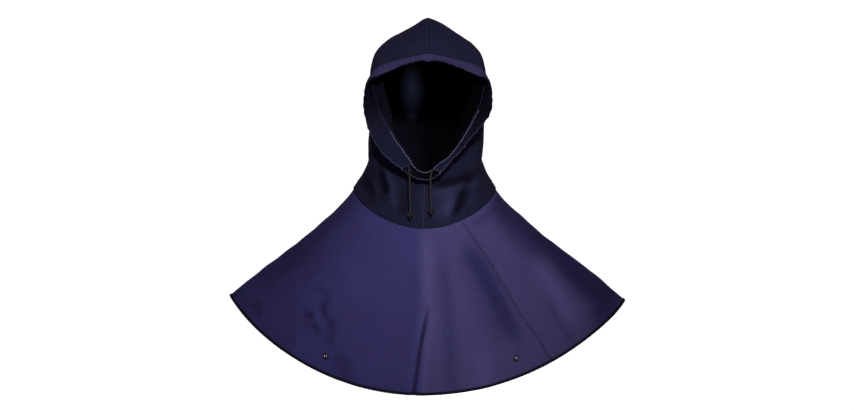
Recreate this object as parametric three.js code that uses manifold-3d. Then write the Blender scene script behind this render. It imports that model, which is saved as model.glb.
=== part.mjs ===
// Welding hood: two woven panels sewn at the crown, the back and the throat, a drawcord tunnel round the
// face, and a shoulder cape with a bound hem and two press studs. Millimetres, +Z up, the face towards -Y.
// The origin is where the hood sits on the wearer's crown.
import * as THREE from "three";
import { mergeVertices } from "three/addons/utils/BufferGeometryUtils.js";
import Module from "manifold-3d";

const wasm = await Module();
wasm.setup();

// Cloth
const cloth = 1.5;
const gap = 0.3;

// Hood: slanting sections, each from a point on the crown line to a point on the throat line.
// half is the half width, eave and jaw the lengths over which it closes at the crown and at the throat,
// and bow is how far the sides lie behind the section's plane.
const hoodColumns = [
  "at", "crownY", "crownZ", "frontY", "frontZ", "half", "eave", "eavePower", "jaw", "jawPower", "bow",
];
const hoodSections = table(hoodColumns, [
  [0.0, -126, -56, -106, -265, 100, 25, 1.0, 125, 0.63, 22],
  [0.12, -80, -14, -107, -274, 102, 50, 1.0, 140, 0.62, 14],
  [0.3, 5, 15, -109, -288, 104, 64, 1.0, 124, 0.58, 4],
  [0.46, 82, -12, -112, -302, 104, 62, 0.9, 110, 0.55, 0],
  [0.6, 127, -75, -115, -316, 104, 60, 0.75, 100, 0.52, -8],
  [0.74, 135, -150, -118, -331, 103, 60, 0.62, 94, 0.5, -25],
  [0.87, 119, -230, -121, -346, 101, 60, 0.54, 84, 0.5, -45],
  [0.95, 114, -280, -123, -356, 110, 60, 0.5, 76, 0.5, -53],
  [1.0, 122, -312, -125, -363, 128, 64, 0.5, 72, 0.5, -46],
]);
// The hood leans a little to one side; at is the height
const hoodSway = table(["at", "x"], [
  [-363, -5],
  [-240, -4.5],
  [-120, 1.5],
  [15, 0.5],
]);
const hoodRoundness = 3.3;
const hoodRows = 18;
const hoodColumnsAcross = 20;
const hoodFineSteps = 400;

// Cape: a flattened cone from under the neck seam to a hem that is lens-shaped from above
const tuckFrom = 0.6;
const tuckGap = 0.7;
const hemHalfWidth = 355;
const hemFrontDepth = 165;
const hemBackDepth = 170;
const hemTipZ = -489;
const hemTipTilt = 4;
const hemSway = -7;
const hemFrontZ = -650;
const hemBackZ = -606;
const tipRounding = 0.06;
const capeFlare = -0.06;
const capeRows = 8;
const capeColumns = 68;
const capeTipCrowding = 0.5;

// Folds, placed as they show from the front: a positive height stands towards the viewer
const foldColumns = ["name", "x1", "z1", "x2", "z2", "height", "width"];
const hoodFolds = table(foldColumns, [
  ["left neck valley", -106, -278, -96, -318, -6, 9],
  ["left neck ridge", -92, -266, -82, -316, 5, 9],
  ["left throat valley", -76, -256, -66, -296, -4, 9],
  ["right throat ridge", 8, -292, 90, -272, 3, 10],
  ["right neck valley", 80, -296, 68, -336, -5, 10],
]);
const capeFolds = table(foldColumns, [
  ["seam valley", 58, -385, 146, -540, -6, 24],
  ["right fold", 211, -484, 260, -574, -5, 18],
  ["centre crease", -6, -526, -21, -652, -7, 14],
  ["left fold", -179, -493, -179, -568, -4, 18],
]);
const foldsFadeFrom = 20;
const foldsFadeTo = -40;
const foldsEndFrom = 0.86;

// Drawcord tunnel: a flattened tube that leans from the seam in the directions below
const casingWidth = 23;
const casingThickness = 8.4;
const casingWall = 1.1;
const casingSetback = 0.9;
const casingSteps = 52;
const casingSides = 10;
const casingLiningSides = 8;
const casingLean = table(["at", "out", "forward", "down"], [
  [0.0, 0.0, 0.25, 1.0],
  [0.24, 0.05, 0.4, 1.0],
  [0.34, 0.0, 1.0, 0.7],
  [0.45, 0.55, 0.85, 0.4],
  [0.54, 0.9, 0.5, 0.35],
  [0.7, 0.8, 0.35, 0.6],
  [0.87, 0.45, 0.8, 0.55],
  [1.0, 0.0, 1.0, 0.5],
]);

// Drawcord: the two free ends, each from inside the tunnel, out of a slit in its inner face and down to a
// knot. The slits are cut along the stretch between the two points numbered here.
const cordDiameter = 4.4;
const cordSides = 8;
const cordSteps = 20;
const slitClearance = 0.45;
const loopGap = 0.5;
const slitFrom = 1;
const slitTo = 6;
const knotRadius = 4.8;
const knotHalfHeight = 5;
const knotSides = 10;
const leftCord = [
  [-45.2, -114.5, -252.2],
  [-42.6, -114.9, -253.6],
  [-40.0, -115.9, -254.6],
  [-37.6, -117.6, -255.0],
  [-35.1, -120.2, -255.4],
  [-33.4, -122.7, -256.9],
  [-32.4, -125.3, -259.5],
  [-31.9, -127.5, -263.2],
  [-31.4, -129.3, -267.3],
  [-31.1, -130.2, -272.0],
  [-30.9, -130.5, -280.0],
  [-30.9, -130.5, -292.0],
  [-30.7, -130.3, -304.0],
  [-30.4, -130.1, -316.0],
  [-30.2, -130.0, -326.0],
  [-30.1, -130.0, -335.2],
];
const rightCord = [
  [24.9, -115.7, -259.4],
  [22.2, -116.0, -260.9],
  [19.0, -116.8, -261.7],
  [15.5, -117.9, -261.8],
  [12.1, -119.4, -261.5],
  [9.4, -121.8, -261.9],
  [7.6, -124.6, -263.4],
  [6.5, -127.4, -266.2],
  [5.9, -129.6, -270.0],
  [5.5, -130.9, -274.6],
  [5.3, -131.4, -282.0],
  [5.3, -131.4, -292.0],
  [5.5, -131.2, -303.0],
  [5.8, -131.0, -315.0],
  [6.0, -130.9, -328.2],
];

// Press studs, placed as they show from the front. The profile runs from the back cap to the socket's
// floor, as a radius and a height above the cape's outer face.
const studs = table(["name", "x", "z"], [
  ["stud_left", -177, -586],
  ["stud_right", 154, -589],
]);
const studSides = 14;
const studHole = 2.4;
const studHoleLength = 12;
const studProfile = [
  [0, -3.6],
  [4.6, -3.6],
  [5.2, -3.2],
  [5.2, -2.1],
  [1.9, -2.1],
  [1.9, 0.6],
  [5.6, 0.6],
  [5.6, 1.8],
  [4.6, 2.8],
  [2.9, 2.8],
  [2.6, 1.3],
  [0, 1.3],
];

// Hem binding: a folded tape over the cape's edge
const bindingDepth = 6;
const bindingWall = 1.1;
const bindingGap = 0.35;

// Turns rows of plain values into rows with named columns
function table(columns, rows) {
  return rows.map((row) => Object.fromEntries(columns.map((column, i) => [column, row[i]])));
}

// The value of a table's column at a place between its rows, on a smooth curve through them
function along(rows, column, at) {
  const last = rows.length - 1;
  let i = 0;
  while (i < last - 1 && at > rows[i + 1].at) i++;
  const slopeAt = (k) => {
    const before = rows[Math.max(k - 1, 0)];
    const after = rows[Math.min(k + 1, last)];
    return (after[column] - before[column]) / (after.at - before.at);
  };
  const span = rows[i + 1].at - rows[i].at;
  const t = (at - rows[i].at) / span;
  const rise = rows[i + 1][column] - rows[i][column];
  const startSlope = slopeAt(i) * span;
  const endSlope = slopeAt(i + 1) * span;
  const bend = 3 * rise - 2 * startSlope - endSlope;
  const twist = startSlope + endSlope - 2 * rise;
  return rows[i][column] + t * (startSlope + t * (bend + t * twist));
}

// How far the folds lift a point that is seen from the front at x, z
function foldHeight(folds, x, z) {
  let height = 0;
  for (const fold of folds) {
    const runX = fold.x2 - fold.x1;
    const runZ = fold.z2 - fold.z1;
    const share = ((x - fold.x1) * runX + (z - fold.z1) * runZ) / (runX * runX + runZ * runZ);
    const nearest = THREE.MathUtils.clamp(share, 0, 1);
    const away = Math.hypot(x - fold.x1 - nearest * runX, z - fold.z1 - nearest * runZ);
    height += fold.height * Math.exp(-((away / fold.width) ** 2));
  }
  return height;
}

// Pushes a point of the front towards the viewer by a share of the folds that it lies in
function folded(point, folds, share) {
  const front = 1 - THREE.MathUtils.smoothstep(point.y, foldsFadeTo, foldsFadeFrom);
  point.y -= share * front * foldHeight(folds, point.x, point.z);
  return point;
}

// Points spaced evenly along a half section of the hood, from the crown to the throat, on the side given
function hoodSection(v, side, count) {
  const row = {};
  for (const column of hoodColumns) row[column] = along(hoodSections, column, v);
  const depth = Math.hypot(row.frontY - row.crownY, row.frontZ - row.crownZ);
  const runY = (row.frontY - row.crownY) / depth;
  const runZ = (row.frontZ - row.crownZ) / depth;
  const fine = hoodFineSteps;
  const places = [];
  for (let k = 0; k <= fine; k++) places.push((depth * (1 - Math.cos((Math.PI * k) / fine))) / 2);
  const widths = places.map((s) => {
    const crown = Math.pow(Math.max(s, 1e-6) / row.eave, -row.eavePower * hoodRoundness);
    const throat = Math.pow(Math.max(depth - s, 1e-6) / row.jaw, -row.jawPower * hoodRoundness);
    return Math.pow(crown + 1 + throat, -1 / hoodRoundness);
  });
  const widest = Math.max(...widths);
  const curve = places.map((s, k) => {
    const share = widths[k] / widest;
    const back = row.bow * share ** 2;
    const y = row.crownY + runY * s - runZ * back;
    const z = row.crownZ + runZ * s + runY * back;
    const x = side * Math.max(row.half * share, gap / 2);
    return new THREE.Vector3(x + along(hoodSway, "x", z), y, z);
  });
  const lengths = [0];
  for (let k = 1; k <= fine; k++) lengths.push(lengths[k - 1] + curve[k].distanceTo(curve[k - 1]));
  const foldShare = 1 - THREE.MathUtils.smoothstep(v, foldsEndFrom, 1);
  const points = [];
  let k = 1;
  for (let j = 0; j <= count; j++) {
    const target = (lengths[fine] * j) / count;
    while (k < fine && lengths[k] < target) k++;
    const share = (target - lengths[k - 1]) / (lengths[k] - lengths[k - 1]);
    points.push(folded(curve[k - 1].clone().lerp(curve[k], share), hoodFolds, foldShare));
  }
  return points;
}

// Outward normals of a grid of points whose columns run down and whose rows run back on the right side
function gridNormals(grid, turn, closed) {
  const rows = grid.length;
  const columns = grid[0].length;
  return grid.map((line, i) =>
    line.map((point, j) => {
      const before = closed ? (j + columns - 1) % columns : Math.max(j - 1, 0);
      const after = closed ? (j + 1) % columns : Math.min(j + 1, columns - 1);
      const across = line[after].clone().sub(line[before]);
      const down = grid[Math.min(i + 1, rows - 1)][j].clone().sub(grid[Math.max(i - 1, 0)][j]);
      return across.cross(down).normalize().multiplyScalar(turn);
    }),
  );
}

// A closed wall between an outer and an inner grid; closed columns run right round
function wall(outer, inner, turn, closed) {
  const rows = outer.length;
  const columns = outer[0].length;
  const positions = [];
  for (const grid of [outer, inner]) {
    for (const point of grid.flat()) positions.push(point.x, point.y, point.z);
  }
  const index = [];
  const triangle = (a, b, c) => index.push(...(turn > 0 ? [a, b, c] : [a, c, b]));
  const quad = (a, b, c, d) => {
    triangle(a, b, c);
    triangle(a, c, d);
  };
  const at = (i, j) => i * columns + (j % columns);
  const innerAt = (i, j) => rows * columns + at(i, j);
  const lastColumn = closed ? columns : columns - 1;
  for (let i = 0; i < rows - 1; i++) {
    for (let j = 0; j < lastColumn; j++) {
      quad(at(i, j), at(i, j + 1), at(i + 1, j + 1), at(i + 1, j));
      quad(innerAt(i, j), innerAt(i + 1, j), innerAt(i + 1, j + 1), innerAt(i, j + 1));
    }
  }
  for (let j = 0; j < lastColumn; j++) {
    quad(at(0, j), innerAt(0, j), innerAt(0, j + 1), at(0, j + 1));
    quad(at(rows - 1, j), at(rows - 1, j + 1), innerAt(rows - 1, j + 1), innerAt(rows - 1, j));
  }
  if (!closed) {
    for (let i = 0; i < rows - 1; i++) {
      quad(at(i, 0), at(i + 1, 0), innerAt(i + 1, 0), innerAt(i, 0));
      quad(at(i, lastColumn), innerAt(i, lastColumn), innerAt(i + 1, lastColumn), at(i + 1, lastColumn));
    }
  }
  return indexed(positions, index);
}

function indexed(positions, index) {
  const geometry = new THREE.BufferGeometry();
  geometry.setAttribute("position", new THREE.Float32BufferAttribute(positions, 3));
  geometry.setIndex(index);
  geometry.computeVertexNormals();
  return geometry;
}

// The outer and inner faces of a hood panel, with the seam edges mitred so that the two panels meet along
// the middle plane
function hoodGrids(side) {
  const outer = [];
  for (let i = 0; i <= hoodRows; i++) outer.push(hoodSection(i / hoodRows, side, hoodColumnsAcross));
  const normals = gridNormals(outer, side, false);
  const inner = outer.map((line, i) =>
    line.map((point, j) => {
      const normal = normals[i][j].clone();
      if (j === 0 || j === hoodColumnsAcross) {
        normal.x = 0;
        normal.divideScalar(normal.lengthSq());
      }
      return point.clone().addScaledVector(normal, -cloth);
    }),
  );
  return { outer, inner };
}

// The hood's outer face near the neck seam, with its normal. round runs 0 to 2 from the back, by the right
// side, to the front and on by the left side; share runs 0 to 1 from the last row but one to the seam.
function neckPoint(panels, round, share) {
  const side = round <= 1 ? 1 : -1;
  const u = round <= 1 ? round : 2 - round;
  const rows = panels[side].outer.slice(-2);
  const pick = (line, place) => {
    const column = THREE.MathUtils.clamp(place, 0, 1) * hoodColumnsAcross;
    const k = Math.min(Math.floor(column), hoodColumnsAcross - 1);
    return line[k].clone().lerp(line[k + 1], column - k);
  };
  const above = pick(rows[0], u);
  const seam = pick(rows[1], u);
  const half = 0.5 / hoodColumnsAcross;
  const across = pick(rows[1], u + half).sub(pick(rows[1], u - half));
  const normal = across.cross(seam.clone().sub(above)).multiplyScalar(side);
  const point = above.lerp(seam, share);
  if (u === 0 || u === 1) {
    normal.x = 0;
    point.x -= (side * gap) / 2;
  }
  return { point, normal: normal.normalize() };
}

// The hem, right round: a lens from above, lowest at the front
function hemPoint(round) {
  const side = round <= 1 ? 1 : -1;
  const u = round <= 1 ? round : 2 - round;
  const fromTip = 2 * u - 1;
  const away = Math.abs(fromTip);
  const depth = fromTip > 0 ? hemFrontDepth : hemBackDepth;
  const half = 2 * Math.atan(depth / hemHalfWidth);
  const radius = hemHalfWidth / Math.sin(half);
  const eased = (Math.hypot(away, tipRounding) - tipRounding) / (Math.hypot(1, tipRounding) - tipRounding);
  const x = side * radius * Math.sin(half * (1 - eased));
  const y = -Math.sign(fromTip) * radius * (Math.cos(half * (1 - away)) - Math.cos(half));
  const lowest = fromTip > 0 ? hemFrontZ : hemBackZ;
  const drop = hemTipZ - side * hemTipTilt - lowest;
  const dropRadius = (hemHalfWidth ** 2 + drop ** 2) / (2 * drop);
  const z = lowest + dropRadius - Math.sqrt(dropRadius ** 2 - x ** 2);
  const sway = hemSway * (1 - (x / hemHalfWidth) ** 2);
  return new THREE.Vector3(x + sway, y, z);
}

// The cape's outer face, from its tucked top edge to the hem; down runs 0 to 1 below the neck seam
function capeLine(panels, round) {
  const tuck = neckPoint(panels, round, tuckFrom);
  const seam = neckPoint(panels, round, 1);
  const under = cloth + tuckGap;
  const top = tuck.point.addScaledVector(tuck.normal, -under);
  const start = seam.point.addScaledVector(seam.normal, -under);
  const end = hemPoint(round);
  const run = end.clone().sub(start);
  const slant = run.length();
  const startSlope = start.clone().sub(top).setLength(slant);
  const outwards = new THREE.Vector3(run.x, run.y, 0).normalize();
  const endSlope = run.clone().addScaledVector(outwards, capeFlare * slant).setLength(slant);
  const line = [top];
  const places = Array.from({ length: capeRows + 1 }, (_, i) => i / capeRows);
  places.splice(capeRows, 0, 1 - bindingDepth / slant);
  for (const t of places) {
    const point = start.clone().multiplyScalar((1 + 2 * t) * (1 - t) ** 2);
    point.addScaledVector(startSlope, t * (1 - t) ** 2);
    point.addScaledVector(end, t * t * (3 - 2 * t));
    point.addScaledVector(endSlope, t * t * (t - 1));
    line.push(t === 0 ? point : folded(point, capeFolds, 1));
  }
  return line;
}

function capeGrids(panels) {
  const lines = [];
  for (let j = 0; j < capeColumns; j++) {
    const even = (2 * j) / capeColumns;
    lines.push(capeLine(panels, even + (capeTipCrowding * Math.sin(2 * Math.PI * even)) / (2 * Math.PI)));
  }
  const outer = lines[0].map((_, i) => lines.map((line) => line[i]));
  const normals = gridNormals(outer, 1, true);
  const inner = outer.map((line, i) => line.map((p, j) => p.clone().addScaledVector(normals[i][j], -cloth)));
  return { outer, inner, normals };
}

// The binding: a U-shaped section carried round the hem, in line with the cape's lowest row. Each corner is
// a distance down from the hem and a distance out from the cape's outer or inner face.
function bindingGeometry(cape) {
  const last = cape.outer.length - 1;
  const outside = bindingGap + bindingWall;
  const section = [
    [cape.outer, -bindingDepth, outside],
    [cape.outer, outside, outside],
    [cape.inner, outside, -outside],
    [cape.inner, -bindingDepth, -outside],
    [cape.inner, -bindingDepth, -bindingGap],
    [cape.inner, bindingGap, -bindingGap],
    [cape.outer, bindingGap, bindingGap],
    [cape.outer, -bindingDepth, bindingGap],
  ];
  const rings = cape.normals[last].map((normal, j) =>
    section.map(([face, down, out]) => {
      const downwards = face[last][j].clone().sub(face[last - 1][j]).normalize();
      return face[last][j].clone().addScaledVector(downwards, down).addScaledVector(normal, out);
    }),
  );
  return ring(rings, -1);
}

// A closed tube through rings of points, joined end to end
function ring(rings, turn) {
  const sides = rings[0].length;
  const positions = [];
  for (const point of rings.flat()) positions.push(point.x, point.y, point.z);
  const index = [];
  rings.forEach((_, i) => {
    for (let j = 0; j < sides; j++) {
      const a = i * sides + j;
      const b = i * sides + ((j + 1) % sides);
      const c = ((i + 1) % rings.length) * sides + ((j + 1) % sides);
      const d = ((i + 1) % rings.length) * sides + j;
      index.push(...(turn > 0 ? [a, b, c, a, c, d] : [a, c, b, a, d, c]));
    }
  });
  return indexed(positions, index);
}

// The tunnel's middle line round the face, from the crown by the right side to the chin and back by the
// left, with the direction that it leans in and the direction through its thickness
function casingFrames() {
  const half = casingSteps / 2;
  const right = hoodSection(0, 1, half);
  const left = hoodSection(0, -1, half);
  const loop = [...right, ...left.slice(1, half).reverse()];
  loop[0].x -= gap / 2;
  loop[half].x -= gap / 2;
  return loop.map((seam, k) => {
    const side = k <= half ? 1 : -1;
    const at = k <= half ? k / half : 2 - k / half;
    const before = loop[(k + casingSteps - 1) % casingSteps];
    const run = loop[(k + 1) % casingSteps].clone().sub(before).normalize();
    const lean = new THREE.Vector3(
      side * along(casingLean, "out", at),
      -along(casingLean, "forward", at),
      -along(casingLean, "down", at),
    );
    if (k % half === 0) lean.x = 0;
    lean.addScaledVector(run, -lean.dot(run)).normalize();
    const outwards = lean.clone().cross(run);
    const middle = seam.clone().addScaledVector(lean, casingSetback + casingWidth / 2);
    return { middle, lean, outwards };
  });
}

// A flattened tube round the face, as wide and as thick as given
function casingTube(frames, width, thickness, sides) {
  const rings = frames.map(({ middle, lean, outwards }) =>
    Array.from({ length: sides }, (_, k) => {
      const angle = (2 * Math.PI * k) / sides;
      const point = middle.clone().addScaledVector(lean, (width / 2) * Math.cos(angle));
      return point.addScaledVector(outwards, (thickness / 2) * Math.sin(angle));
    }),
  );
  return ring(rings, -1);
}

// The tunnel: a hollow tube with a slit for each end of the cord
function casingGeometry(frames) {
  const lining = [casingWidth - 2 * casingWall, casingThickness - 2 * casingWall];
  let solid = solidOf(casingTube(frames, casingWidth, casingThickness, casingSides));
  solid = solid.subtract(solidOf(casingTube(frames, ...lining, casingLiningSides)));
  for (const route of [leftCord, rightCord]) {
    const through = pointsOf(route).slice(slitFrom, slitTo + 1);
    const slit = cordGeometry(through, cordDiameter + 2 * slitClearance, through.length);
    solid = solid.subtract(solidOf(slit));
  }
  return geometryOf(solid);
}

// A cord of round section along a smooth curve through the points given
function cordGeometry(points, diameter, steps) {
  const section = new THREE.Shape();
  for (let k = 0; k < cordSides; k++) {
    const angle = (2 * Math.PI * k) / cordSides;
    const corner = [(diameter / 2) * Math.cos(angle), (diameter / 2) * Math.sin(angle)];
    if (k === 0) section.moveTo(...corner);
    else section.lineTo(...corner);
  }
  const extrudePath = new THREE.CatmullRomCurve3(points);
  return new THREE.ExtrudeGeometry(section, { steps, extrudePath, bevelEnabled: false });
}

function pointsOf(route) {
  return route.map((place) => new THREE.Vector3(...place));
}

// The stretch of cord in the tunnel, from just behind the start of the left end, over the brow, to just
// behind the start of the right end
function loopGeometry(frames) {
  const behind = (route) => {
    const [first, second] = pointsOf(route);
    return first.clone().addScaledVector(second.sub(first).normalize(), -loopGap);
  };
  const half = casingSteps / 2;
  const middles = frames.map((frame) => frame.middle);
  const leftStart = behind(leftCord);
  const rightStart = behind(rightCord);
  const leftSide = middles.slice(half).filter((point) => point.z > leftStart.z + cordDiameter);
  const rightSide = middles.slice(0, half).filter((point) => point.z > rightStart.z + cordDiameter);
  return cordGeometry([leftStart, ...leftSide, ...rightSide, rightStart], cordDiameter, casingSteps);
}

// A knot, standing under the end of a cord
function knotGeometry() {
  const profile = [];
  const levels = knotSides / 2;
  for (let k = 0; k <= levels; k++) {
    const angle = (Math.PI * k) / levels - Math.PI / 2;
    profile.push(new THREE.Vector2(knotRadius * Math.cos(angle), knotHalfHeight * Math.sin(angle)));
  }
  profile[0].x = 0;
  profile[levels].x = 0;
  return new THREE.LatheGeometry(profile, knotSides);
}

// The place on the front of the cape that shows at x, z, with its outward normal
function capeSpot(cape, x, z) {
  const seen = new THREE.Vector3(x, 0, z);
  const flat = (point) => new THREE.Vector3(point.x, 0, point.z);
  for (let i = 1; i < cape.outer.length - 1; i++) {
    for (let j = 0; j < capeColumns; j++) {
      const next = (j + 1) % capeColumns;
      const quad = [cape.outer[i][j], cape.outer[i][next], cape.outer[i + 1][next], cape.outer[i + 1][j]];
      for (const corners of [[quad[0], quad[1], quad[2]], [quad[0], quad[2], quad[3]]]) {
        const face = new THREE.Triangle(...corners);
        const normal = face.getNormal(new THREE.Vector3());
        const shadow = new THREE.Triangle(...corners.map(flat));
        if (normal.y > 0 || !shadow.containsPoint(seen)) continue;
        const shares = shadow.getBarycoord(seen, new THREE.Vector3());
        const point = new THREE.Vector3();
        corners.forEach((corner, k) => point.addScaledVector(corner, shares.getComponent(k)));
        return { point, normal };
      }
    }
  }
  return null;
}

// Turns a piece whose own axis is +Y to stand on a spot of the cape
function standOn(object, spot) {
  object.position.copy(spot.point);
  object.quaternion.setFromUnitVectors(new THREE.Vector3(0, 1, 0), spot.normal);
  object.updateMatrixWorld(true);
  return object;
}

// The cape's wall, with a hole for each stud
function capeGeometry(cape, spots) {
  let solid = solidOf(wall(cape.outer, cape.inner, 1, true));
  for (const spot of spots) {
    const round = new THREE.CylinderGeometry(studHole, studHole, studHoleLength, studSides);
    const drill = standOn(new THREE.Mesh(round), spot);
    solid = solid.subtract(solidOf(round.applyMatrix4(drill.matrixWorld)));
  }
  return geometryOf(solid);
}

function studGeometry() {
  return new THREE.LatheGeometry(studProfile.map(([r, h]) => new THREE.Vector2(r, h)), studSides);
}

// Closed meshes as solids that can be cut, and back
function solidOf(geometry) {
  const bare = geometry.clone();
  bare.deleteAttribute("normal");
  bare.deleteAttribute("uv");
  const merged = mergeVertices(bare, 1e-3);
  const vertProperties = merged.getAttribute("position").array;
  const triVerts = new Uint32Array(merged.getIndex().array);
  return new wasm.Manifold(new wasm.Mesh({ numProp: 3, vertProperties, triVerts }));
}

function geometryOf(solid) {
  const mesh = solid.getMesh();
  return indexed(Array.from(mesh.vertProperties), Array.from(mesh.triVerts));
}

const hood = new THREE.Group();
const navyTwill = () => new THREE.MeshStandardMaterial({ color: 0x2c2850, roughness: 0.85, metalness: 0 });
const darkTape = () => new THREE.MeshStandardMaterial({ color: 0x171628, roughness: 0.8, metalness: 0 });
const blackCord = () => new THREE.MeshStandardMaterial({ color: 0x1c1b24, roughness: 0.7, metalness: 0 });
const darkMetal = () => new THREE.MeshStandardMaterial({ color: 0x1a1a1e, roughness: 0.35, metalness: 0.8 });

function addPiece(name, geometry, material) {
  const mesh = new THREE.Mesh(geometry, material);
  mesh.name = name;
  hood.add(mesh);
  return mesh;
}

const panels = { [-1]: hoodGrids(-1), 1: hoodGrids(1) };
addPiece("hood_left", wall(panels[-1].outer, panels[-1].inner, -1, false), navyTwill());
addPiece("hood_right", wall(panels[1].outer, panels[1].inner, 1, false), navyTwill());

const frames = casingFrames();
addPiece("face_casing", casingGeometry(frames), navyTwill());
addPiece("drawcord_loop", loopGeometry(frames), blackCord());
for (const [side, route] of Object.entries({ left: leftCord, right: rightCord })) {
  const points = pointsOf(route);
  addPiece(`cord_end_${side}`, cordGeometry(points, cordDiameter, cordSteps), blackCord());
  const knot = addPiece(`knot_${side}`, knotGeometry(), blackCord());
  knot.rotation.x = Math.PI / 2;
  knot.position.copy(points.at(-1));
  knot.position.z -= knotHalfHeight + gap;
}

const cape = capeGrids(panels);
const spots = studs.map((stud) => capeSpot(cape, stud.x, stud.z));
addPiece("cape", capeGeometry(cape, spots), navyTwill());
addPiece("hem_binding", bindingGeometry(cape), darkTape());
studs.forEach((stud, k) => standOn(addPiece(stud.name, studGeometry(), darkMetal()), spots[k]));

export default hood;
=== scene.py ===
import math
from functools import partial

import bpy
import numpy as np
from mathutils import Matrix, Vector
from mathutils.bvhtree import BVHTree


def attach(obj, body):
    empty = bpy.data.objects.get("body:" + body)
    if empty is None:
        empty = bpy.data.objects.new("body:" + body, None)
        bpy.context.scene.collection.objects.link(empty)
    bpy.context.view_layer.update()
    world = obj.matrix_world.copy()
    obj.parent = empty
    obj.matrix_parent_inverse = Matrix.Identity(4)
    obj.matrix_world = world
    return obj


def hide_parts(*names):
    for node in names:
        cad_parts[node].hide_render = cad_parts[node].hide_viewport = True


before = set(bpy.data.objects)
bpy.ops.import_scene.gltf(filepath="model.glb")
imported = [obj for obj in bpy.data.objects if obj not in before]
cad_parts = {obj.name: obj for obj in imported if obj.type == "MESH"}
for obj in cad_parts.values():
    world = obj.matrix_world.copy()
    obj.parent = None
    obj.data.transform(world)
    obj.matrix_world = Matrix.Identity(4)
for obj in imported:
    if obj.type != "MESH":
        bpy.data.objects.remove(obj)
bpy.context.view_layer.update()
scene = bpy.context.scene
mm = 0.001  # shapes are worked out in millimetres
fullTurn = 2 * math.pi
print("frame loaded,", len(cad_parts), "nodes")


def linearColor(hexColor):
    channels = [int(hexColor[i : i + 2], 16) / 255 for i in (1, 3, 5)]
    return tuple(c / 12.92 if c <= 0.04045 else ((c + 0.055) / 1.055) ** 2.4 for c in channels) + (1.0,)


# Adds a node, or takes the one of that name; a node given as a link's source stands for its first output
def addNode(tree, kind, settings={}, links={}):
    node = tree.nodes.get(kind) or tree.nodes.new(kind)
    for name, value in settings.items():
        if isinstance(name, str) and hasattr(node, name):
            setattr(node, name, value)
        else:
            node.inputs[name].default_value = value
    for name, source in links.items():
        tree.links.new(source.outputs[0] if hasattr(source, "outputs") else source, node.inputs[name])
    return node


# A new material, what adds nodes to it, and the place on the object
def newMaterial(name):
    material = bpy.data.materials.new(name)
    material.use_nodes = True
    add = partial(addNode, material.node_tree)
    return material, add, add("ShaderNodeTexCoord").outputs["Object"]


# Colour that wanders between two tones, and the noise it follows
def unevenColor(add, place, scale, detail, deep, pale, roughness=0.5):
    grain = {"Scale": scale, "Detail": detail, "Roughness": roughness}
    noise = add("ShaderNodeTexNoise", grain, {"Vector": place})
    tones = {"data_type": "RGBA", 6: linearColor(deep), 7: linearColor(pale)}
    return noise, add("ShaderNodeMix", tones, {"Factor": noise}).outputs[2]


def newPiece(name, data):
    piece = bpy.data.objects.new(name, data)
    scene.collection.objects.link(piece)
    return piece


# Camera at the photo's angle, soft light mostly from the front, pale paper floor
studio = {
    "camera": (-0.0009, -4.0, -0.3225),
    "lens": 93.68,  # the picture is 1.537 m wide at the origin
    "sky": 1.06,
    "floor": -0.80,
    "floorReach": 40.0,
    "paper": ("#fbfbfa", "#fefefd"),
    # one soft lamp, in front and above, its narrowed beam fading towards the cape's points
    "lamp": (0.3, -3.9, 1.2),
    "aim": (0.015, -0.13, -0.37),
    "lampRadius": 0.28,
    "watts": 5000.0,
    "beam": 14.0,
    "beamShape": (0.78, 1, 1),
}
scene.view_settings.view_transform = "Standard"
camera = bpy.data.cameras.new("photoCamera")
camera.sensor_fit = "HORIZONTAL"
camera.sensor_width = 36.0
camera.lens = studio["lens"]
scene.camera = newPiece("photoCamera", camera)
scene.camera.location = studio["camera"]
scene.camera.rotation_euler = (math.pi / 2, 0, 0)

sky = bpy.data.worlds.new("studioSky")
sky.use_nodes = True
addNode(sky.node_tree, "Background", {"Color": (1, 1, 1, 1), "Strength": studio["sky"]})
scene.world = sky
lamp = bpy.data.lights.new("frontLamp", "SPOT")
lamp.shadow_soft_size = studio["lampRadius"]
lamp.energy = studio["watts"]
lamp.spot_size = math.radians(studio["beam"])
lamp.spot_blend = 1.0
lampPiece = newPiece("frontLamp", lamp)
lampPiece.location = studio["lamp"]
towards = Vector(studio["aim"]) - lampPiece.location
lampPiece.rotation_euler = towards.to_track_quat("-Z", "Y").to_euler()
lampPiece.scale = studio["beamShape"]

# Matt seamless paper: pale, with a barely seen mottle from its pulp
paper, add, place = newMaterial("seamlessPaper")
tint = unevenColor(add, place, 6.0, 3.0, *studio["paper"])[1]
add("Principled BSDF", {"Roughness": 0.95}, {"Base Color": tint})
floorMesh = bpy.data.meshes.new("paperFloor")
reach, level = studio["floorReach"], studio["floor"]
corners = [(-reach, -reach, level), (reach, -reach, level), (reach, reach, level), (-reach, reach, level)]
floorMesh.from_pydata(corners, [], [(0, 1, 2, 3)])
floorMesh.materials.append(paper)
newPiece("paperFloor", floorMesh)
print("camera, light and floor set")


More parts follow.
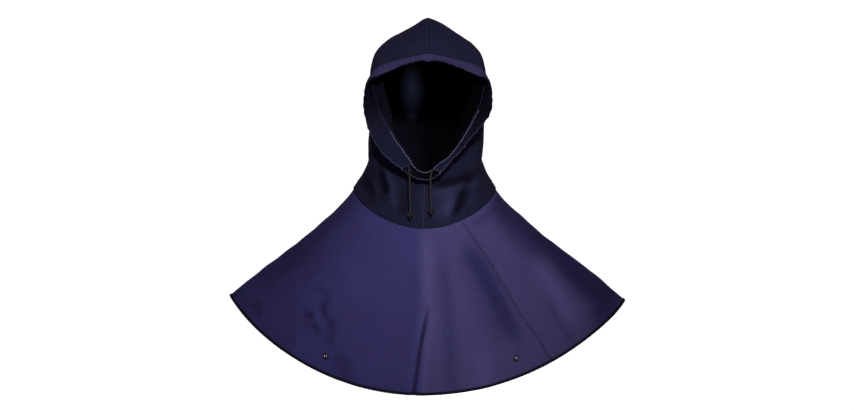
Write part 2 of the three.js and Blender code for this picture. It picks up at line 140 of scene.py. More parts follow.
# Cotton twill: carded cotton woven in a steep diagonal, piece-dyed and washed. The eye gets a matt face with
# fine slanting ribs, a slight fibre bloom at grazing angles and faint dye mottle.
def twillCloth(name, look):
    cloth, add, place = newMaterial(name)
    times = {"operation": "MULTIPLY"}
    cut = add("ShaderNodeUVMap", {"uv_map": "cut"})
    slant = (0, 0, math.radians(look["slant"]))
    turned = add("ShaderNodeMapping", {"Rotation": slant}, {"Vector": cut})
    bands = 0.314 / (look["ribSpacing"] * mm)  # a wave of scale 0.314 repeats each metre
    wave = {"Scale": bands, "Distortion": 1.2, "Detail": 2.0, "Detail Scale": 1.5}
    ribs = add("ShaderNodeTexWave", wave, {"Vector": turned}).outputs["Fac"]
    patches = 1 / (look["mottleSize"] * mm)
    mottle, dye = unevenColor(add, place, patches, 5.0, look["deep"], look["pale"], 0.55)
    slubSize = {"Scale": 1 / (look["slubSize"] * mm), "Detail": 2.0}
    slubs = add("ShaderNodeTexNoise", slubSize, {"Vector": cut})
    # painted light and shade: a tone mixed in towards one end of the piece, where it faces the front and
    # isn't deep in a fold; a painted sheen on the cape's right half, painted light towards the hood's crown,
    # painted shade on the band below the temples and on the tunnel's turned-in face
    sides = add("ShaderNodeSeparateXYZ", {}, {"Vector": place}).outputs
    axis, begin, finish = look["paintedLightShadeAlong"]
    paintedLightShade = {"From Min": begin, "From Max": finish, "To Max": look["paintedLightShadeAmount"]}
    paintedLightShadeAmount = add("ShaderNodeMapRange", paintedLightShade, {"Value": sides[axis]})
    front = {"From Min": -0.03, "From Max": 0.03, "To Min": 1.0, "To Max": look["paintedLightShadeBehind"]}
    facing = add("ShaderNodeMapRange", front, {"Value": sides["Y"]})
    fold = add("ShaderNodeAttribute", {"attribute_name": "fold"}).outputs["Fac"]
    unfolded = add("ShaderNodeMapRange", {"From Min": -0.5, "From Max": 0.0}, {"Value": fold})
    inFront = add("ShaderNodeMath", times, {0: paintedLightShadeAmount, 1: facing})
    onTop = add("ShaderNodeMath", times, {0: inFront, 1: unfolded})
    # one painted spot, a soft-edged ball drawn out by its shape: a painted highlight right of the hood's
    # throat, a painted pool of light on the inside's back wall, painted shade along the tunnel's right cheek
    shape = look["paintedSpotShape"]
    centre = tuple(p * s for p, s in zip(look["paintedSpotPlace"], shape))
    stretched = add("ShaderNodeVectorMath", {"operation": "MULTIPLY", 1: shape}, {0: place})
    fromPaintedSpot = add("ShaderNodeVectorMath", {"operation": "DISTANCE", 1: centre}, {0: stretched})
    edge = {"From Max": look["paintedSpotReach"], "To Min": look["paintedSpot"], "To Max": 0.0}
    edge["interpolation_type"] = "SMOOTHSTEP"
    paintedSpot = add("ShaderNodeMapRange", edge, {"Value": fromPaintedSpot.outputs["Value"]})
    paintedLightShadeMask = add("ShaderNodeMath", {"operation": "ADD", "use_clamp": True}, {0: onTop, 1: paintedSpot})
    paintedLightShadeMix = {"data_type": "RGBA", 7: linearColor(look["paintedLightShade"])}
    # the dyed colour, mixed towards the painted light and shade
    dyed = add("ShaderNodeMix", paintedLightShadeMix, {"Factor": paintedLightShadeMask, 6: dye}).outputs[2]
    # the ribs show best under the painted sheen and painted light
    shown = add("ShaderNodeMapRange", {"To Min": 0.4, "To Max": 1.0}, {"Value": paintedLightShadeMask})
    raised = add("ShaderNodeMix", {2: 0.5}, {0: shown, 3: ribs})
    ribTone = {"To Min": 1 - look["ribShade"], "To Max": 1 + look["ribShade"]}
    ribShade = add("ShaderNodeMapRange", ribTone, {"Value": raised})
    slubTone = {"From Min": 0.3, "From Max": 0.7, "To Min": 0.82, "To Max": 1.18}
    slubShade = add("ShaderNodeMapRange", slubTone, {"Value": slubs})
    weave = add("ShaderNodeMath", times, {0: ribShade, 1: slubShade})
    # painted shade in the folds' valleys and painted highlight on their ridges, read from the fold attribute
    foldTone = {"From Min": -1.0, "To Min": 1 - look["foldPaintedShade"], "To Max": 1 + look["foldPaintedShade"]}
    foldPaintedShade = add("ShaderNodeMapRange", foldTone, {"Value": fold})
    shade = add("ShaderNodeMath", times, {0: weave, 1: foldPaintedShade})
    color = add("ShaderNodeVectorMath", {"operation": "SCALE"}, {0: dyed, "Scale": shade})
    relief = add("ShaderNodeMath", times, {0: ribs, 1: slubShade})
    depth = {"Strength": look["bump"], "Distance": 0.25 * mm}
    bump = add("ShaderNodeBump", depth, {"Height": relief})
    nap = add("ShaderNodeMapRange", {"To Min": 0.78, "To Max": 0.94}, {"Value": mottle})
    skin = {
        "Specular IOR Level": look["shine"],
        "Sheen Weight": look["bloom"],
        "Sheen Roughness": 0.5,
        "Sheen Tint": linearColor(look["bloomTint"]),
    }
    add("Principled BSDF", skin, {"Base Color": color, "Roughness": nap, "Normal": bump})
    return cloth


capeLook = {
    "deep": "#0d0b1d",
    "pale": "#131129",
    "paintedLightShade": "#161426",  # painted sheen greys the right half of the cape a little
    "paintedLightShadeAmount": 0.8,
    "paintedLightShadeAlong": ("X", -0.020, -0.004),
    "paintedLightShadeBehind": 0.0,
    "paintedSpot": 0.0,
    "paintedSpotPlace": (0.0, 0.0, 0.0),
    "paintedSpotReach": 0.05,
    "paintedSpotShape": (1.0, 1.0, 1.0),
    "slant": 18.0,
    "ribSpacing": 4.0,  # a real rib is about 0.7 mm apart, too fine to show in the picture
    "ribShade": 0.15,
    "foldPaintedShade": 0.6,  # painted highlight on the ridges, painted shade in the valleys
    "mottleSize": 90.0,
    "slubSize": 3.0,
    "bump": 0.35,
    "shine": 0.006,
    "bloom": 0.004,
    "bloomTint": "#5a54a0",
}
# painted shade: the hood is a darker copy of the cape's cloth, darkest at the neck, with painted light
# towards the crown and one painted highlight right of the throat
hoodLook = dict(
    capeLook,
    deep="#04040b",
    pale="#06060f",
    paintedLightShade="#0b0b18",
    paintedLightShadeAmount=0.9,
    paintedLightShadeAlong=("Z", -0.26, -0.04),
    paintedLightShadeBehind=1.0,
    paintedSpot=0.9,
    paintedSpotPlace=(0.037, -0.135, -0.32),
    paintedSpotReach=0.052,
    foldPaintedShade=0.75,
    ribShade=0.08,
    bump=0.2,
)
# painted light: the brow band is a lighter copy of the cape's cloth; below the temples painted shade makes it
# as dark as the hood
bandLook = dict(
    capeLook,
    deep="#110f1f",
    pale="#171529",
    paintedLightShade="#06060f",
    paintedLightShadeAmount=1.0,
    paintedLightShadeAlong=("Z", -0.09, -0.112),
    paintedLightShadeBehind=1.0,
)
# painted shade: the tunnel's turned-in face is darkened, most high up and along the right cheek
turnedLook = dict(
    hoodLook,
    paintedLightShade="#020204",
    paintedLightShadeAmount=0.85,
    paintedLightShadeAlong=("Z", -0.2, -0.15),
    paintedSpot=0.8,
    paintedSpotPlace=(0.08, -0.135, -0.2),
    paintedSpotReach=0.09,
    bloom=0.0,
)
# painted shade: inside, all is near black, but for one painted pool of light on the back wall
liningLook = dict(
    hoodLook,
    deep="#010101",
    pale="#010102",
    paintedLightShade="#3a3e58",
    paintedLightShadeAmount=0.013,
    paintedLightShadeAlong=("X", 0.005, -0.045),
    paintedSpot=1.0,
    paintedSpotPlace=(-0.028, 0.125, -0.11),
    paintedSpotReach=0.06,
    paintedSpotShape=(2.1, 0.4, 1.0),
    bloom=0.0,
    shine=0.0,
)
tapeLook = dict(liningLook, deep="#040408", pale="#06060c", paintedLightShadeAmount=0.0, paintedSpot=0.0, slant=90.0, ribSpacing=1.6)
# one cloth made as several copies: the hood's copy darkened with painted shade, the band's copy lightened
# with painted light, and painted shade on the turned-in and inside faces
capeTwill = twillCloth("navyCottonTwill", capeLook)
shadedHoodTwill = twillCloth("shadedNavyCottonTwill", hoodLook)
turnedInShadeTwill = twillCloth("turnedInPaintedShadeTwill", turnedLook)
litBandTwill = twillCloth("litNavyCottonTwill", bandLook)
insidePaintedShade = twillCloth("wrongSidePaintedShadeTwill", liningLook)
hemTape = twillCloth("darkCottonTape", tapeLook)


# Spun polyester sewing thread and braided cord: dull, a little glossier than the cloth, uneven by fibre
def spunThread(name, deep, pale, fibreSize, roughness):
    thread, add, place = newMaterial(name)
    fibres, tint = unevenColor(add, place, 1 / (fibreSize * mm), 3.0, deep, pale)
    bump = add("ShaderNodeBump", {"Strength": 0.4, "Distance": 0.1 * mm}, {"Height": fibres})
    skin = {"Roughness": roughness, "Specular IOR Level": 0.03}
    add("Principled BSDF", skin, {"Base Color": tint, "Normal": bump})
    return thread


navyThread = spunThread("navySewingThread", "#030308", "#07060f", 0.6, 0.8)
paleThread = spunThread("paleBobbinThread", "#34323f", "#545268", 0.6, 0.7)
# lavender thread, pale enough to be a painted highlight of the edges it is sewn along
edgeHighlightThread = spunThread("lavenderEdgeHighlightThread", "#18172c", "#24223a", 0.6, 0.7)
blackBraid = spunThread("blackBraidedCord", "#010102", "#020203", 1.2, 0.6)
oliveFleck = spunThread("oliveFleckYarn", "#0f0f10", "#1c1c1b", 1.2, 0.6)

# Black oxide on brass: a dark satin skin, a touch lighter where it has rubbed
blackOxide, add, place = newMaterial("blackOxideBrass")
rubbed, tint = unevenColor(add, place, 900.0, 4.0, "#040404", "#0c0c0e")
satin = add("ShaderNodeMapRange", {"To Min": 0.22, "To Max": 0.42}, {"Value": rubbed})
add("Principled BSDF", {"Metallic": 0.9}, {"Base Color": tint, "Roughness": satin})

# Drawn spring wire: bare bright steel, the one glint on the stud
springSteel, add, place = newMaterial("brightSpringSteel")
drawn = add("ShaderNodeTexNoise", {"Scale": 1500.0, "Detail": 2.0}, {"Vector": place})
polish = add("ShaderNodeMapRange", {"To Min": 0.3, "To Max": 0.5}, {"Value": drawn})
bare = {"Base Color": linearColor("#46464c"), "Metallic": 1.0}
add("Principled BSDF", bare, {"Roughness": polish})
print("materials made")


# A smooth curve through a table's rows; the first column is the place
def alongRows(rows, at):
    rows = np.asarray(rows, float)
    at = np.atleast_1d(np.asarray(at, float))
    places, values = rows[:, 0], rows[:, 1:]
    last = len(places) - 1
    order = np.arange(last + 1)
    before, after = np.maximum(order - 1, 0), np.minimum(order + 1, last)
    slopes = (values[after] - values[before]) / (places[after] - places[before])[:, None]
    i = np.clip(np.searchsorted(places, at) - 1, 0, last - 1)
    span = (places[i + 1] - places[i])[:, None]
    t = (at - places[i])[:, None] / span
    rise = values[i + 1] - values[i]
    begin, end = slopes[i] * span, slopes[i + 1] * span
    return values[i] + t * (begin + t * (3 * rise - 2 * begin - end + t * (begin + end - 2 * rise)))


def smoothStep(value, low, high):
    t = np.clip((value - low) / (high - low), 0, 1)
    return t * t * (3 - 2 * t)


def bell(distance, width):
    return np.exp(-((distance / width) ** 2))


def unit(vectors):
    return vectors / np.linalg.norm(vectors, axis=-1, keepdims=True)


# Direction of a closed line at each of its points
def closedRun(points):
    return unit(np.roll(points, -1, 0) - np.roll(points, 1, 0))


# Vectors turned square to a run
def squareTo(run, vectors):
    return unit(vectors - np.sum(vectors * run, 1, keepdims=True) * run)


# Distance along a line at each of its points
def runLength(line):
    return np.concatenate([[0], np.cumsum(np.linalg.norm(np.diff(line, axis=0), axis=1))])


# Points at some distances along a line, whose own points have the given lengths
def pointsAt(distances, lengths, line):
    return np.column_stack([np.interp(distances, lengths, column) for column in np.transpose(line)])


def nearestPoint(points, spot):
    return np.argmin(np.linalg.norm(points - np.array(spot), axis=1))


def ringAngles(sides):
    return np.linspace(0, fullTurn, sides, endpoint=False)


# Smooth curve from the second to the third of four points
def curveBetween(p0, p1, p2, p3, t):
    return p1 + 0.5 * t * (p2 - p0 + t * (2 * p0 - 5 * p1 + 4 * p2 - p3 + t * (3 * (p1 - p2) + p3 - p0)))


# A soft random field, the same each run: size is its usual wave length
def ripple(points, size, seed):
    rng = np.random.default_rng(seed)
    total = np.zeros(points.shape[:-1])
    for _ in range(9):
        way = unit(rng.normal(size=points.shape[-1]))
        total += np.sin(points @ way * (fullTurn / (size * rng.uniform(0.7, 1.6))) + rng.uniform(0, 6.28))
    return total / 3


# The uneven lie of cloth: each wave is a height, a length and a seed
def unevenLie(points, waves, shift=0):
    return sum(height * ripple(points, size, seed + shift) for height, size, seed in waves)


# How far the folds lift a point seen from the front at x, z; each fold is a height, a width and a line
def foldHeight(folds, x, z):
    height = np.zeros_like(x)
    for tall, wide, line in folds:
        line = np.array(line, float)
        runs = np.diff(line, axis=0)
        lengths = np.linalg.norm(runs, axis=1)
        starts = np.concatenate([[0], np.cumsum(lengths)])
        nearest, place = np.full(x.shape, 1e6), np.zeros_like(x)
        for k, (runX, runZ) in enumerate(runs):
            fromX, fromZ = x - line[k, 0], z - line[k, 1]
            share = np.clip((fromX * runX + fromZ * runZ) / lengths[k] ** 2, 0, 1)
            away = np.hypot(fromX - share * runX, fromZ - share * runZ)
            place = np.where(away < nearest, (starts[k] + share * lengths[k]) / starts[-1], place)
            nearest = np.minimum(away, nearest)
        fade = smoothStep(place, -0.08, 0.25) * (1 - smoothStep(place, 0.75, 1.08))
        height += tall * fade * bell(nearest, wide)
    return height


def gridNormals(grid, turn, closed):
    if closed:
        across = np.roll(grid, -1, 1) - np.roll(grid, 1, 1)
    else:
        across = np.gradient(grid, axis=1)
    return turn * unit(np.cross(across, np.gradient(grid, axis=0)))


def meshPiece(name, points, faces, material, uv=None, fold=None):
    mesh = bpy.data.meshes.new(name)
    faces = faces if isinstance(faces, list) else faces.tolist()
    mesh.from_pydata((np.asarray(points) * mm).tolist(), [], faces)
    if uv is not None:
        mesh.uv_layers.new(name="cut").data.foreach_set("uv", (np.asarray(uv) * mm).ravel())
    if fold is not None:
        heights = mesh.attributes.new("fold", "FLOAT", "POINT")
        heights.data.foreach_set("value", np.asarray(fold, np.float32).ravel())
    mesh.polygons.foreach_set("use_smooth", [True] * len(mesh.polygons))
    mesh.materials.append(material)
    return newPiece(name, mesh)


# Cloth with its thickness between an outer and an inner grid; flat holds the place of each point on the cut
# cloth, with one more column where the columns close; fold is how far the outside is a ridge or a valley
def clothWall(name, outer, inner, flat, fold, closed, turn, material, inside=None):
    rows, columns = outer.shape[:2]
    across = columns if closed else columns - 1
    i, j = (a.ravel() for a in np.meshgrid(np.arange(rows - 1), np.arange(across), indexing="ij"))
    k, r, last = np.arange(across), np.arange(rows - 1), rows - 1
    strips = [
        ((0, 0, 0, 0), (i, i, i + 1, i + 1), (j, j + 1, j + 1, j)),
        ((1, 1, 1, 1), (i, i + 1, i + 1, i), (j, j, j + 1, j + 1)),
        ((0, 1, 1, 0), (0, 0, 0, 0), (k, k, k + 1, k + 1)),
        ((0, 0, 1, 1), (last, last, last, last), (k, k + 1, k + 1, k)),
    ]
    if not closed:
        strips.append(((0, 0, 1, 1), (r, r + 1, r + 1, r), (0, 0, 0, 0)))
        strips.append(((0, 1, 1, 0), (r, r, r + 1, r + 1), (across, across, across, across)))
    corners = np.concatenate(
        [
            np.stack([np.stack(np.broadcast_arrays(a, b, c), -1) for a, b, c in zip(*strip)], 1)
            for strip in strips
        ]
    )
    if turn < 0:
        corners = corners[:, ::-1]
    layer, row, column = corners[..., 0], corners[..., 1], corners[..., 2]
    faces = (layer * rows + row) * columns + column % columns
    points = np.concatenate([outer.reshape(-1, 3), inner.reshape(-1, 3)])
    piece = meshPiece(name, points, faces, material, flat[row, column], [fold, 0 * fold])
    if inside:
        piece.data.materials.append(inside)
        piece.data.polygons.foreach_set("material_index", np.all(layer == 1, axis=1).astype(np.int32))
    return piece


# A tube through rings of points, open or closed along its run, with the row and column of each corner
def ringTube(rings, closed, turn):
    count, sides = rings.shape[:2]
    steps = count if closed else count - 1
    i, j = (a.ravel() for a in np.meshgrid(np.arange(steps), np.arange(sides), indexing="ij"))
    rows = np.stack([i, i, i + 1, i + 1], 1)
    columns = np.stack([j, j + 1, j + 1, j], 1)
    if turn < 0:
        rows, columns = rows[:, ::-1], columns[:, ::-1]
    faces = (rows % count) * sides + columns % sides
    return rings.reshape(-1, 3), faces, rows, columns


def dress(piece, slot, *nodes):
    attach(piece, "root")
    if nodes:
        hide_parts(*nodes)
    return piece


# Hood panels: slanting sections from the crown line to the throat line, as in the solids, with finer folds,
# puckers at the face and a seam dip where the two panels meet
hood = {
    # at, crownY, crownZ, frontY, frontZ, half width, eave, eavePower, jaw, jawPower, bow
    "sections": [
        (0.0, -126, -56, -106, -265, 100, 25, 1.0, 125, 0.63, 22),
        (0.12, -80, -14, -107, -274, 102, 50, 1.0, 140, 0.62, 14),
        (0.3, 5, 15, -109, -288, 104, 64, 1.0, 124, 0.58, 4),
        (0.46, 82, -12, -112, -302, 104, 62, 0.9, 110, 0.55, 0),
        (0.6, 127, -75, -115, -316, 104, 60, 0.75, 100, 0.52, -8),
        (0.74, 135, -150, -118, -331, 103, 60, 0.62, 94, 0.5, -25),
        (0.87, 119, -230, -121, -346, 101, 60, 0.54, 84, 0.5, -45),
        (0.95, 114, -280, -123, -356, 110, 60, 0.5, 76, 0.5, -53),
        (1.0, 122, -312, -125, -363, 128, 64, 0.5, 72, 0.5, -46),
    ],
    "sway": [(-363, -5), (-240, -4.5), (-120, 1.5), (15, 0.5)],
    "roundness": 3.3,
    "cloth": 1.5,
    "halfGap": 0.02,
    "rows": 116,
    "across": 128,
    "seamColumns": (0.0012, 0.0026, 0.0045, 0.007),
    # height, width, and the line as x and z; each fold also gives its painted shade
    "folds": [
        (-5, 24, [(-112, -262), (-94, -335)]),
        (-12, 6, [(-118, -272), (-108, -296), (-97, -330)]),
        (3.5, 6, [(-104, -262), (-94, -290), (-86, -326)]),
        (-9, 6, [(-88, -258), (-79, -282), (-71, -304)]),
        (5, 8, [(-74, -258), (-64, -290), (-58, -330)]),
        (-4, 8, [(-38, -290), (-44, -345)]),
        (7, 9, [(4, -303), (50, -295), (96, -283)]),
        (-6, 7, [(6, -290), (48, -280), (92, -265)]),
        (-8, 7, [(74, -272), (66, -297), (54, -330), (44, -362)]),
        (5, 8, [(70, -330), (88, -306)]),
        (5, 12, [(42, -300), (30, -352)]),
        (2, 6, [(-12, -286), (-10, -352)]),
    ],
    "foldFade": (-40, 20),
    "foldStart": (0, 12),  # distance from the face edge
    "foldsEnd": (0.9, 1),
    "foldScale": 6.0,  # a fold this high is near its full painted shade
    # height, length and seed of each wave, and where they die out
    "waves": [(1.2, 130.0, 11), (0.35, 34.0, 21)],
    "seamCalm": (2, 30),
    "faceCalm": (0, 25),
    "hemCalm": (0.93, 1),
    "seamDip": (0.3, 2.2),  # depth, reach
    "seamLip": (0.35, 6, 3.5),  # height, distance from the seam, reach
    "seamHold": 4,
    # distance from the crown seam, how far the roof of the hood lies above the plain sections
    "roof": [(0, 0), (12, 1.4), (35, 0), (60, -1.6), (95, 0)],
    "roofStart": (0, 30),
    "roofEnd": (0.5, 0.7),
    "pucker": 0.55,
    "puckerLength": 12.5,
    "puckerReach": 13.0,
    "puckerCalm": (3, 20),
    "puckerWander": [(1.6, 45.0, 31)],
    "lapColumns": (6, 4, 2),
    "lapDepths": (0.15, 1.0),  # of its outer and inner face, behind the cloth
    # the cord draws the cheeks in: height on the face edge, how far at the left, at the right, and behind
    "cheeks": [
        (-266, 0, 0, 0),
        (-256, 6, 5, 14),
        (-249, 10, 6, 19),
        (-241, 15, 2, 25),
        (-222, 18, 4, 27),
        (-193, 16, 6, 29),
        (-171, 10, 5, 29),
        (-153, 4, 2, 27),
        (-106, 0, 0, 20),
        (-85, 0, 0, 8),
        (-70, 0, 0, 0),
        (-50, 0, 0, 0),
    ],
    "cheekReach": (20, 85),
}


# How far the cheeks are drawn in at heights on the face edge and a distance behind it
def cheekPull(z, behind, side):
    table = np.transpose(hood["cheeks"])
    leftEdge, rightEdge, deeper = (np.interp(z, table[0], column) for column in table[1:])
    atEdge = np.where(side > 0, rightEdge, leftEdge)
    near, far = hood["cheekReach"]
    pull = atEdge + (deeper - atEdge) * smoothStep(behind, 0, near)
    return pull * (1 - smoothStep(behind, near + 2, far))


def hoodSection(side, v):
    values = alongRows(hood["sections"], v)[0]
    crownY, crownZ, frontY, frontZ, half, eave, eavePower, jaw, jawPower, bow = values
    depth = math.hypot(frontY - crownY, frontZ - crownZ)
    runY, runZ = (frontY - crownY) / depth, (frontZ - crownZ) / depth
    s = depth * (1 - np.cos(np.linspace(0, math.pi, 401))) / 2
    m = hood["roundness"]
    crown = (np.maximum(s, 1e-6) / eave) ** (-eavePower * m)
    throat = (np.maximum(depth - s, 1e-6) / jaw) ** (-jawPower * m)
    width = (crown + 1 + throat) ** (-1 / m)
    width /= width.max()
    back = bow * width**2
    z = crownZ + runZ * s + runY * back
    x = side * np.maximum(half * width, hood["halfGap"]) + alongRows(hood["sway"], z)[:, 0]
    return np.column_stack([x, crownY + runY * s - runZ * back, z])


# Plain surface of one panel at rows v and shares u of each section's length, with those lengths
def hoodSurface(side, vs, us):
    grid = np.empty((len(vs), len(us), 3))
    spans = np.empty(len(vs))
    for r, v in enumerate(vs):
        curve = hoodSection(side, v)
        lengths = runLength(curve)
        spans[r] = lengths[-1]
        grid[r] = pointsAt(np.asarray(us) * lengths[-1], lengths, curve)
    return grid, spans


# Folds of the front only, of the hood or the cape
def frontFolds(grid, folds, fade, share):
    front = 1 - smoothStep(grid[..., 1], *fade)
    return share * front * foldHeight(folds, grid[..., 0], grid[..., 2])


panels = {}
extra = np.array(hood["seamColumns"])
hoodUs = np.unique(np.concatenate([np.linspace(0, 1, hood["across"]), extra, 1 - extra]))
hoodVs = np.linspace(0, 1, hood["rows"])
for side in (-1, 1):
    grid, spans = hoodSurface(side, hoodVs, hoodUs)
    fromCrown = hoodUs[None, :] * spans[:, None]
    fromThroat = (1 - hoodUs[None, :]) * spans[:, None]
    fromSeam = np.minimum(fromCrown, fromThroat)
    down = np.concatenate([np.zeros((1, len(hoodUs))), np.linalg.norm(np.diff(grid, axis=0), axis=2)])
    fromFace = np.cumsum(down, axis=0)
    grid[..., 0] -= side * cheekPull(grid[:1, :, 2], fromFace, side)
    shown = (1 - smoothStep(hoodVs, *hood["foldsEnd"]))[:, None]
    folded = frontFolds(grid, hood["folds"], hood["foldFade"], shown)
    normals = gridNormals(grid, side, False)
    lift = unevenLie(grid, hood["waves"], side)
    lift *= smoothStep(fromSeam, *hood["seamCalm"]) * smoothStep(fromFace, *hood["faceCalm"])
    lift *= (1 - smoothStep(hoodVs, *hood["hemCalm"]))[:, None]
    beat = fullTurn * fromCrown / hood["puckerLength"] + unevenLie(grid, hood["puckerWander"], side)
    pucker = hood["pucker"] * np.sin(beat) * np.exp(-fromFace / hood["puckerReach"])
    lift += pucker * smoothStep(fromSeam, *hood["puckerCalm"])
    depth, reach = hood["seamDip"]
    lift -= depth * bell(fromSeam, reach)
    height, away, reach = hood["seamLip"]
    lift += height * bell(fromSeam - away, reach)
    roof = np.interp(fromCrown, *np.transpose(hood["roof"])) * smoothStep(fromFace, *hood["roofStart"])
    lift += roof * (1 - smoothStep(hoodVs, *hood["roofEnd"]))[:, None]
    folded *= smoothStep(fromFace, *hood["foldStart"])
    lift += folded
    level = normals.copy()  # near the seam the cloth moves in the middle plane only
    level[..., 0] *= 1 - bell(fromSeam, hood["seamHold"])
    outer = grid + level * lift[..., None]
    normals = gridNormals(outer, side, False)
    normals[:, [0, -1], 0] = 0
    normals[:, [0, -1]] /= np.sum(normals[:, [0, -1]] ** 2, axis=-1, keepdims=True)
    inner = outer - hood["cloth"] * normals
    flat = np.stack([side * outer[..., 0] + outer[..., 1], outer[..., 2]], -1)
    # the fold value sets the painted shade in valleys and the painted highlight on ridges
    fold = np.tanh(folded / hood["foldScale"])
    panels[side] = {"outer": outer, "inner": inner, "flat": flat, "fold": fold}
    panels[side].update(normals=unit(normals), fromCrown=fromCrown)


# The right panel's seam allowance, lapped flat behind the left panel's edge
def seamLap(columns, edge):
    spots = [(panels[-1], c) for c in columns] + [(panels[1], edge)]
    depths = [hood["cloth"] + behind for behind in hood["lapDepths"]]
    walls = [[p["outer"][:, c] - p["normals"][:, c] * depth for p, c in spots] for depth in depths]
    kept = [[panels[1][part][:, edge]] * len(spots) for part in ("flat", "fold")]
    return [np.stack(part, 1) for part in walls + kept]


crownLap = seamLap(hood["lapColumns"], 0)
throatLap = [part[:, ::-1] for part in seamLap([-1 - c for c in hood["lapColumns"]], -1)]
for side, name, node in ((-1, "hoodLeftCloth", "hood_left"), (1, "hoodRightCloth", "hood_right")):
    panel = panels[side]
    parts = [panel[part] for part in ("outer", "inner", "flat", "fold")]
    if side > 0:
        parts = [np.concatenate(three, 1) for three in zip(crownLap, parts, throatLap)]
    # the panels' inner faces take the inside's near-black painted shade
    panel["piece"] = clothWall(name, *parts, False, side, shadedHoodTwill, insidePaintedShade)
    dress(panel["piece"], "twill", node)
print("hood panels made")


# Drawcord: the routes of the solids, braided from eight yarns round a core
cord = {
    "diameter": 4.4,
    "pitch": 11.0,
    "yarns": 4,  # each way; two of one way are flecked
    "yarnWidth": 1.05,
    "yarnHeight": 0.55,
    "step": 0.6,
    "left": [
        (-45.2, -114.5, -252.2),
        (-42.6, -114.9, -253.6),
        (-40.0, -115.9, -254.6),
        (-37.6, -117.6, -255.0),
        (-35.1, -120.2, -255.4),
        (-33.4, -122.7, -256.9),
        (-32.4, -125.3, -259.5),
        (-31.9, -127.5, -263.2),
        (-31.4, -129.3, -267.3),
        (-31.1, -130.2, -272.0),
        (-30.9, -130.5, -280.0),
        (-30.9, -130.5, -292.0),
        (-30.7, -130.3, -304.0),
        (-30.4, -130.1, -316.0),
        (-30.2, -130.0, -326.0),
        (-30.1, -130.0, -335.2),
    ],
    "right": [
        (24.9, -115.7, -259.4),
        (22.2, -116.0, -260.9),
        (19.0, -116.8, -261.7),
        (15.5, -117.9, -261.8),
        (12.1, -119.4, -261.5),
        (9.4, -121.8, -261.9),
        (7.6, -124.6, -263.4),
        (6.5, -127.4, -266.2),
        (5.9, -129.6, -270.0),
        (5.5, -130.9, -274.6),
        (5.3, -131.4, -282.0),
        (5.3, -131.4, -292.0),
        (5.5, -131.2, -303.0),
        (5.8, -131.0, -315.0),
        (6.0, -130.9, -328.2),
    ],
    "exitPoint": 3,
    "mouthPoint": 2,  # where the tunnel's end is
    "sink": (4.0, 3.0, 1.5),  # how much deeper the first points lie in the tunnel
    "hiddenStep": 1.0,
    "core": 0.62,  # share of the cord's radius
    "coreSides": 8,
    "yarnSides": 6,
    "crossing": 0.22,  # how far a yarn rises and sinks
    "knotSize": 1.25,
    "knotYarn": 1.75,
    "knotScale": 0.8,
    "knotBelow": 4.3,
    "knotSeed": 41,
    "tailBelow": 3.0,
    "tail": 6.0,
    "tailBraided": 0.6,  # the rest is frayed
    "tailSteps": 8,
    "frays": 18,
    "fraySpread": (1.2, 1.3),  # at the start, and on to the end
    "frayLength": (2.0, 3.6),
    "frayRadius": (0.28, 0.12),
}


# Drawcord tunnel: a flattened tube round the face, thin at its seam, full round the cord, gathered
casing = {
    "width": 23.0,
    "thickness": 8.4,
    "setback": 0.9,
    "steps": 52,
    "between": 12,
    "sides": 28,
    # at, out, forward, down
    "lean": [
        (0.0, 0.0, 0.25, 1.0),
        (0.24, 0.05, 0.4, 1.0),
        (0.34, 0.0, 1.0, 0.7),
        (0.45, 0.55, 0.85, 0.4),
        (0.54, 0.9, 0.5, 0.35),
        (0.7, 0.8, 0.35, 0.6),
        (0.87, 0.45, 0.8, 0.55),
        (1.0, 0.0, 1.0, 0.5),
    ],
    # across, share of the thickness
    "fullness": [(-1.0, 0.3), (-0.6, 0.55), (-0.1, 0.9), (0.4, 1.0), (1.0, 0.85)],
    # share of the way from crown to chin, how far the free edge is drawn in
    "trim": [(0, 6), (0.055, 11.5), (0.13, 10), (0.2, 6), (0.27, 1), (0.32, -7), (0.37, -5), (0.45, 0)],
    "rightTrim": [(0, 0), (0.52, 0), (0.62, 8), (0.7, 15), (0.84, 15), (0.89, 9), (0.93, 3), (1, 0)],
    # the same way, how far the free edge hangs down
    "droop": [(0, 0), (0.9, 0), (0.93, 1.5), (0.965, 4.0), (1, 3.8)],
    "slack": (0.46, 0.62),  # none from brow to temples, full from the cheeks down
    "chinThinner": 0.88,
    "swell": 0.7,
    "scallop": (0.45, 0.7),  # at the brow, at the sides and chin
    "scallopLength": 17.0,
    "gather": (0.2, 0.6),
    "gatherLength": 11.0,
    "pleatSlant": 1.5,
    "wander": (60.0, 5),  # wave length and seed
    "pleatWander": 2.5,
    "scallopWander": 3.0,
    "rough": (0.8, 23.0, 6),  # height, wave length and seed
    "seamTuck": 0.45,
    # where across the tunnel each of these sets in and is full
    "gatherRange": (-0.9, 0.3),
    "scallopRange": (0.2, 1.0),
    "droopRange": (-0.3, 1.0),
    "pullRange": (-1.0, 0.7),  # here the cheeks' pull fades out
    "rim": (0.22, -0.93, -0.75),  # share from which it is wider, how far across before and after
}


def casingFrames():
    half = casing["steps"] // 2
    us = np.linspace(0, 1, half + 1)
    right, left = (hoodSurface(side, [0.0], us)[0][0] for side in (1, -1))
    loop = np.concatenate([right, left[1:half][::-1]])
    loop[[0, half], 0] -= hood["halfGap"]
    k = np.arange(casing["steps"])
    at = np.where(k <= half, k / half, 2 - k / half)
    signs = np.column_stack([np.where(k <= half, 1, -1), -1 + 0 * k, -1 + 0 * k])
    lean = alongRows(casing["lean"], at) * signs
    lean[[0, half], 0] = 0
    lean = squareTo(closedRun(loop), lean)
    middle = loop + lean * (casing["setback"] + casing["width"] / 2)
    return loop, middle, lean, at[:, None]


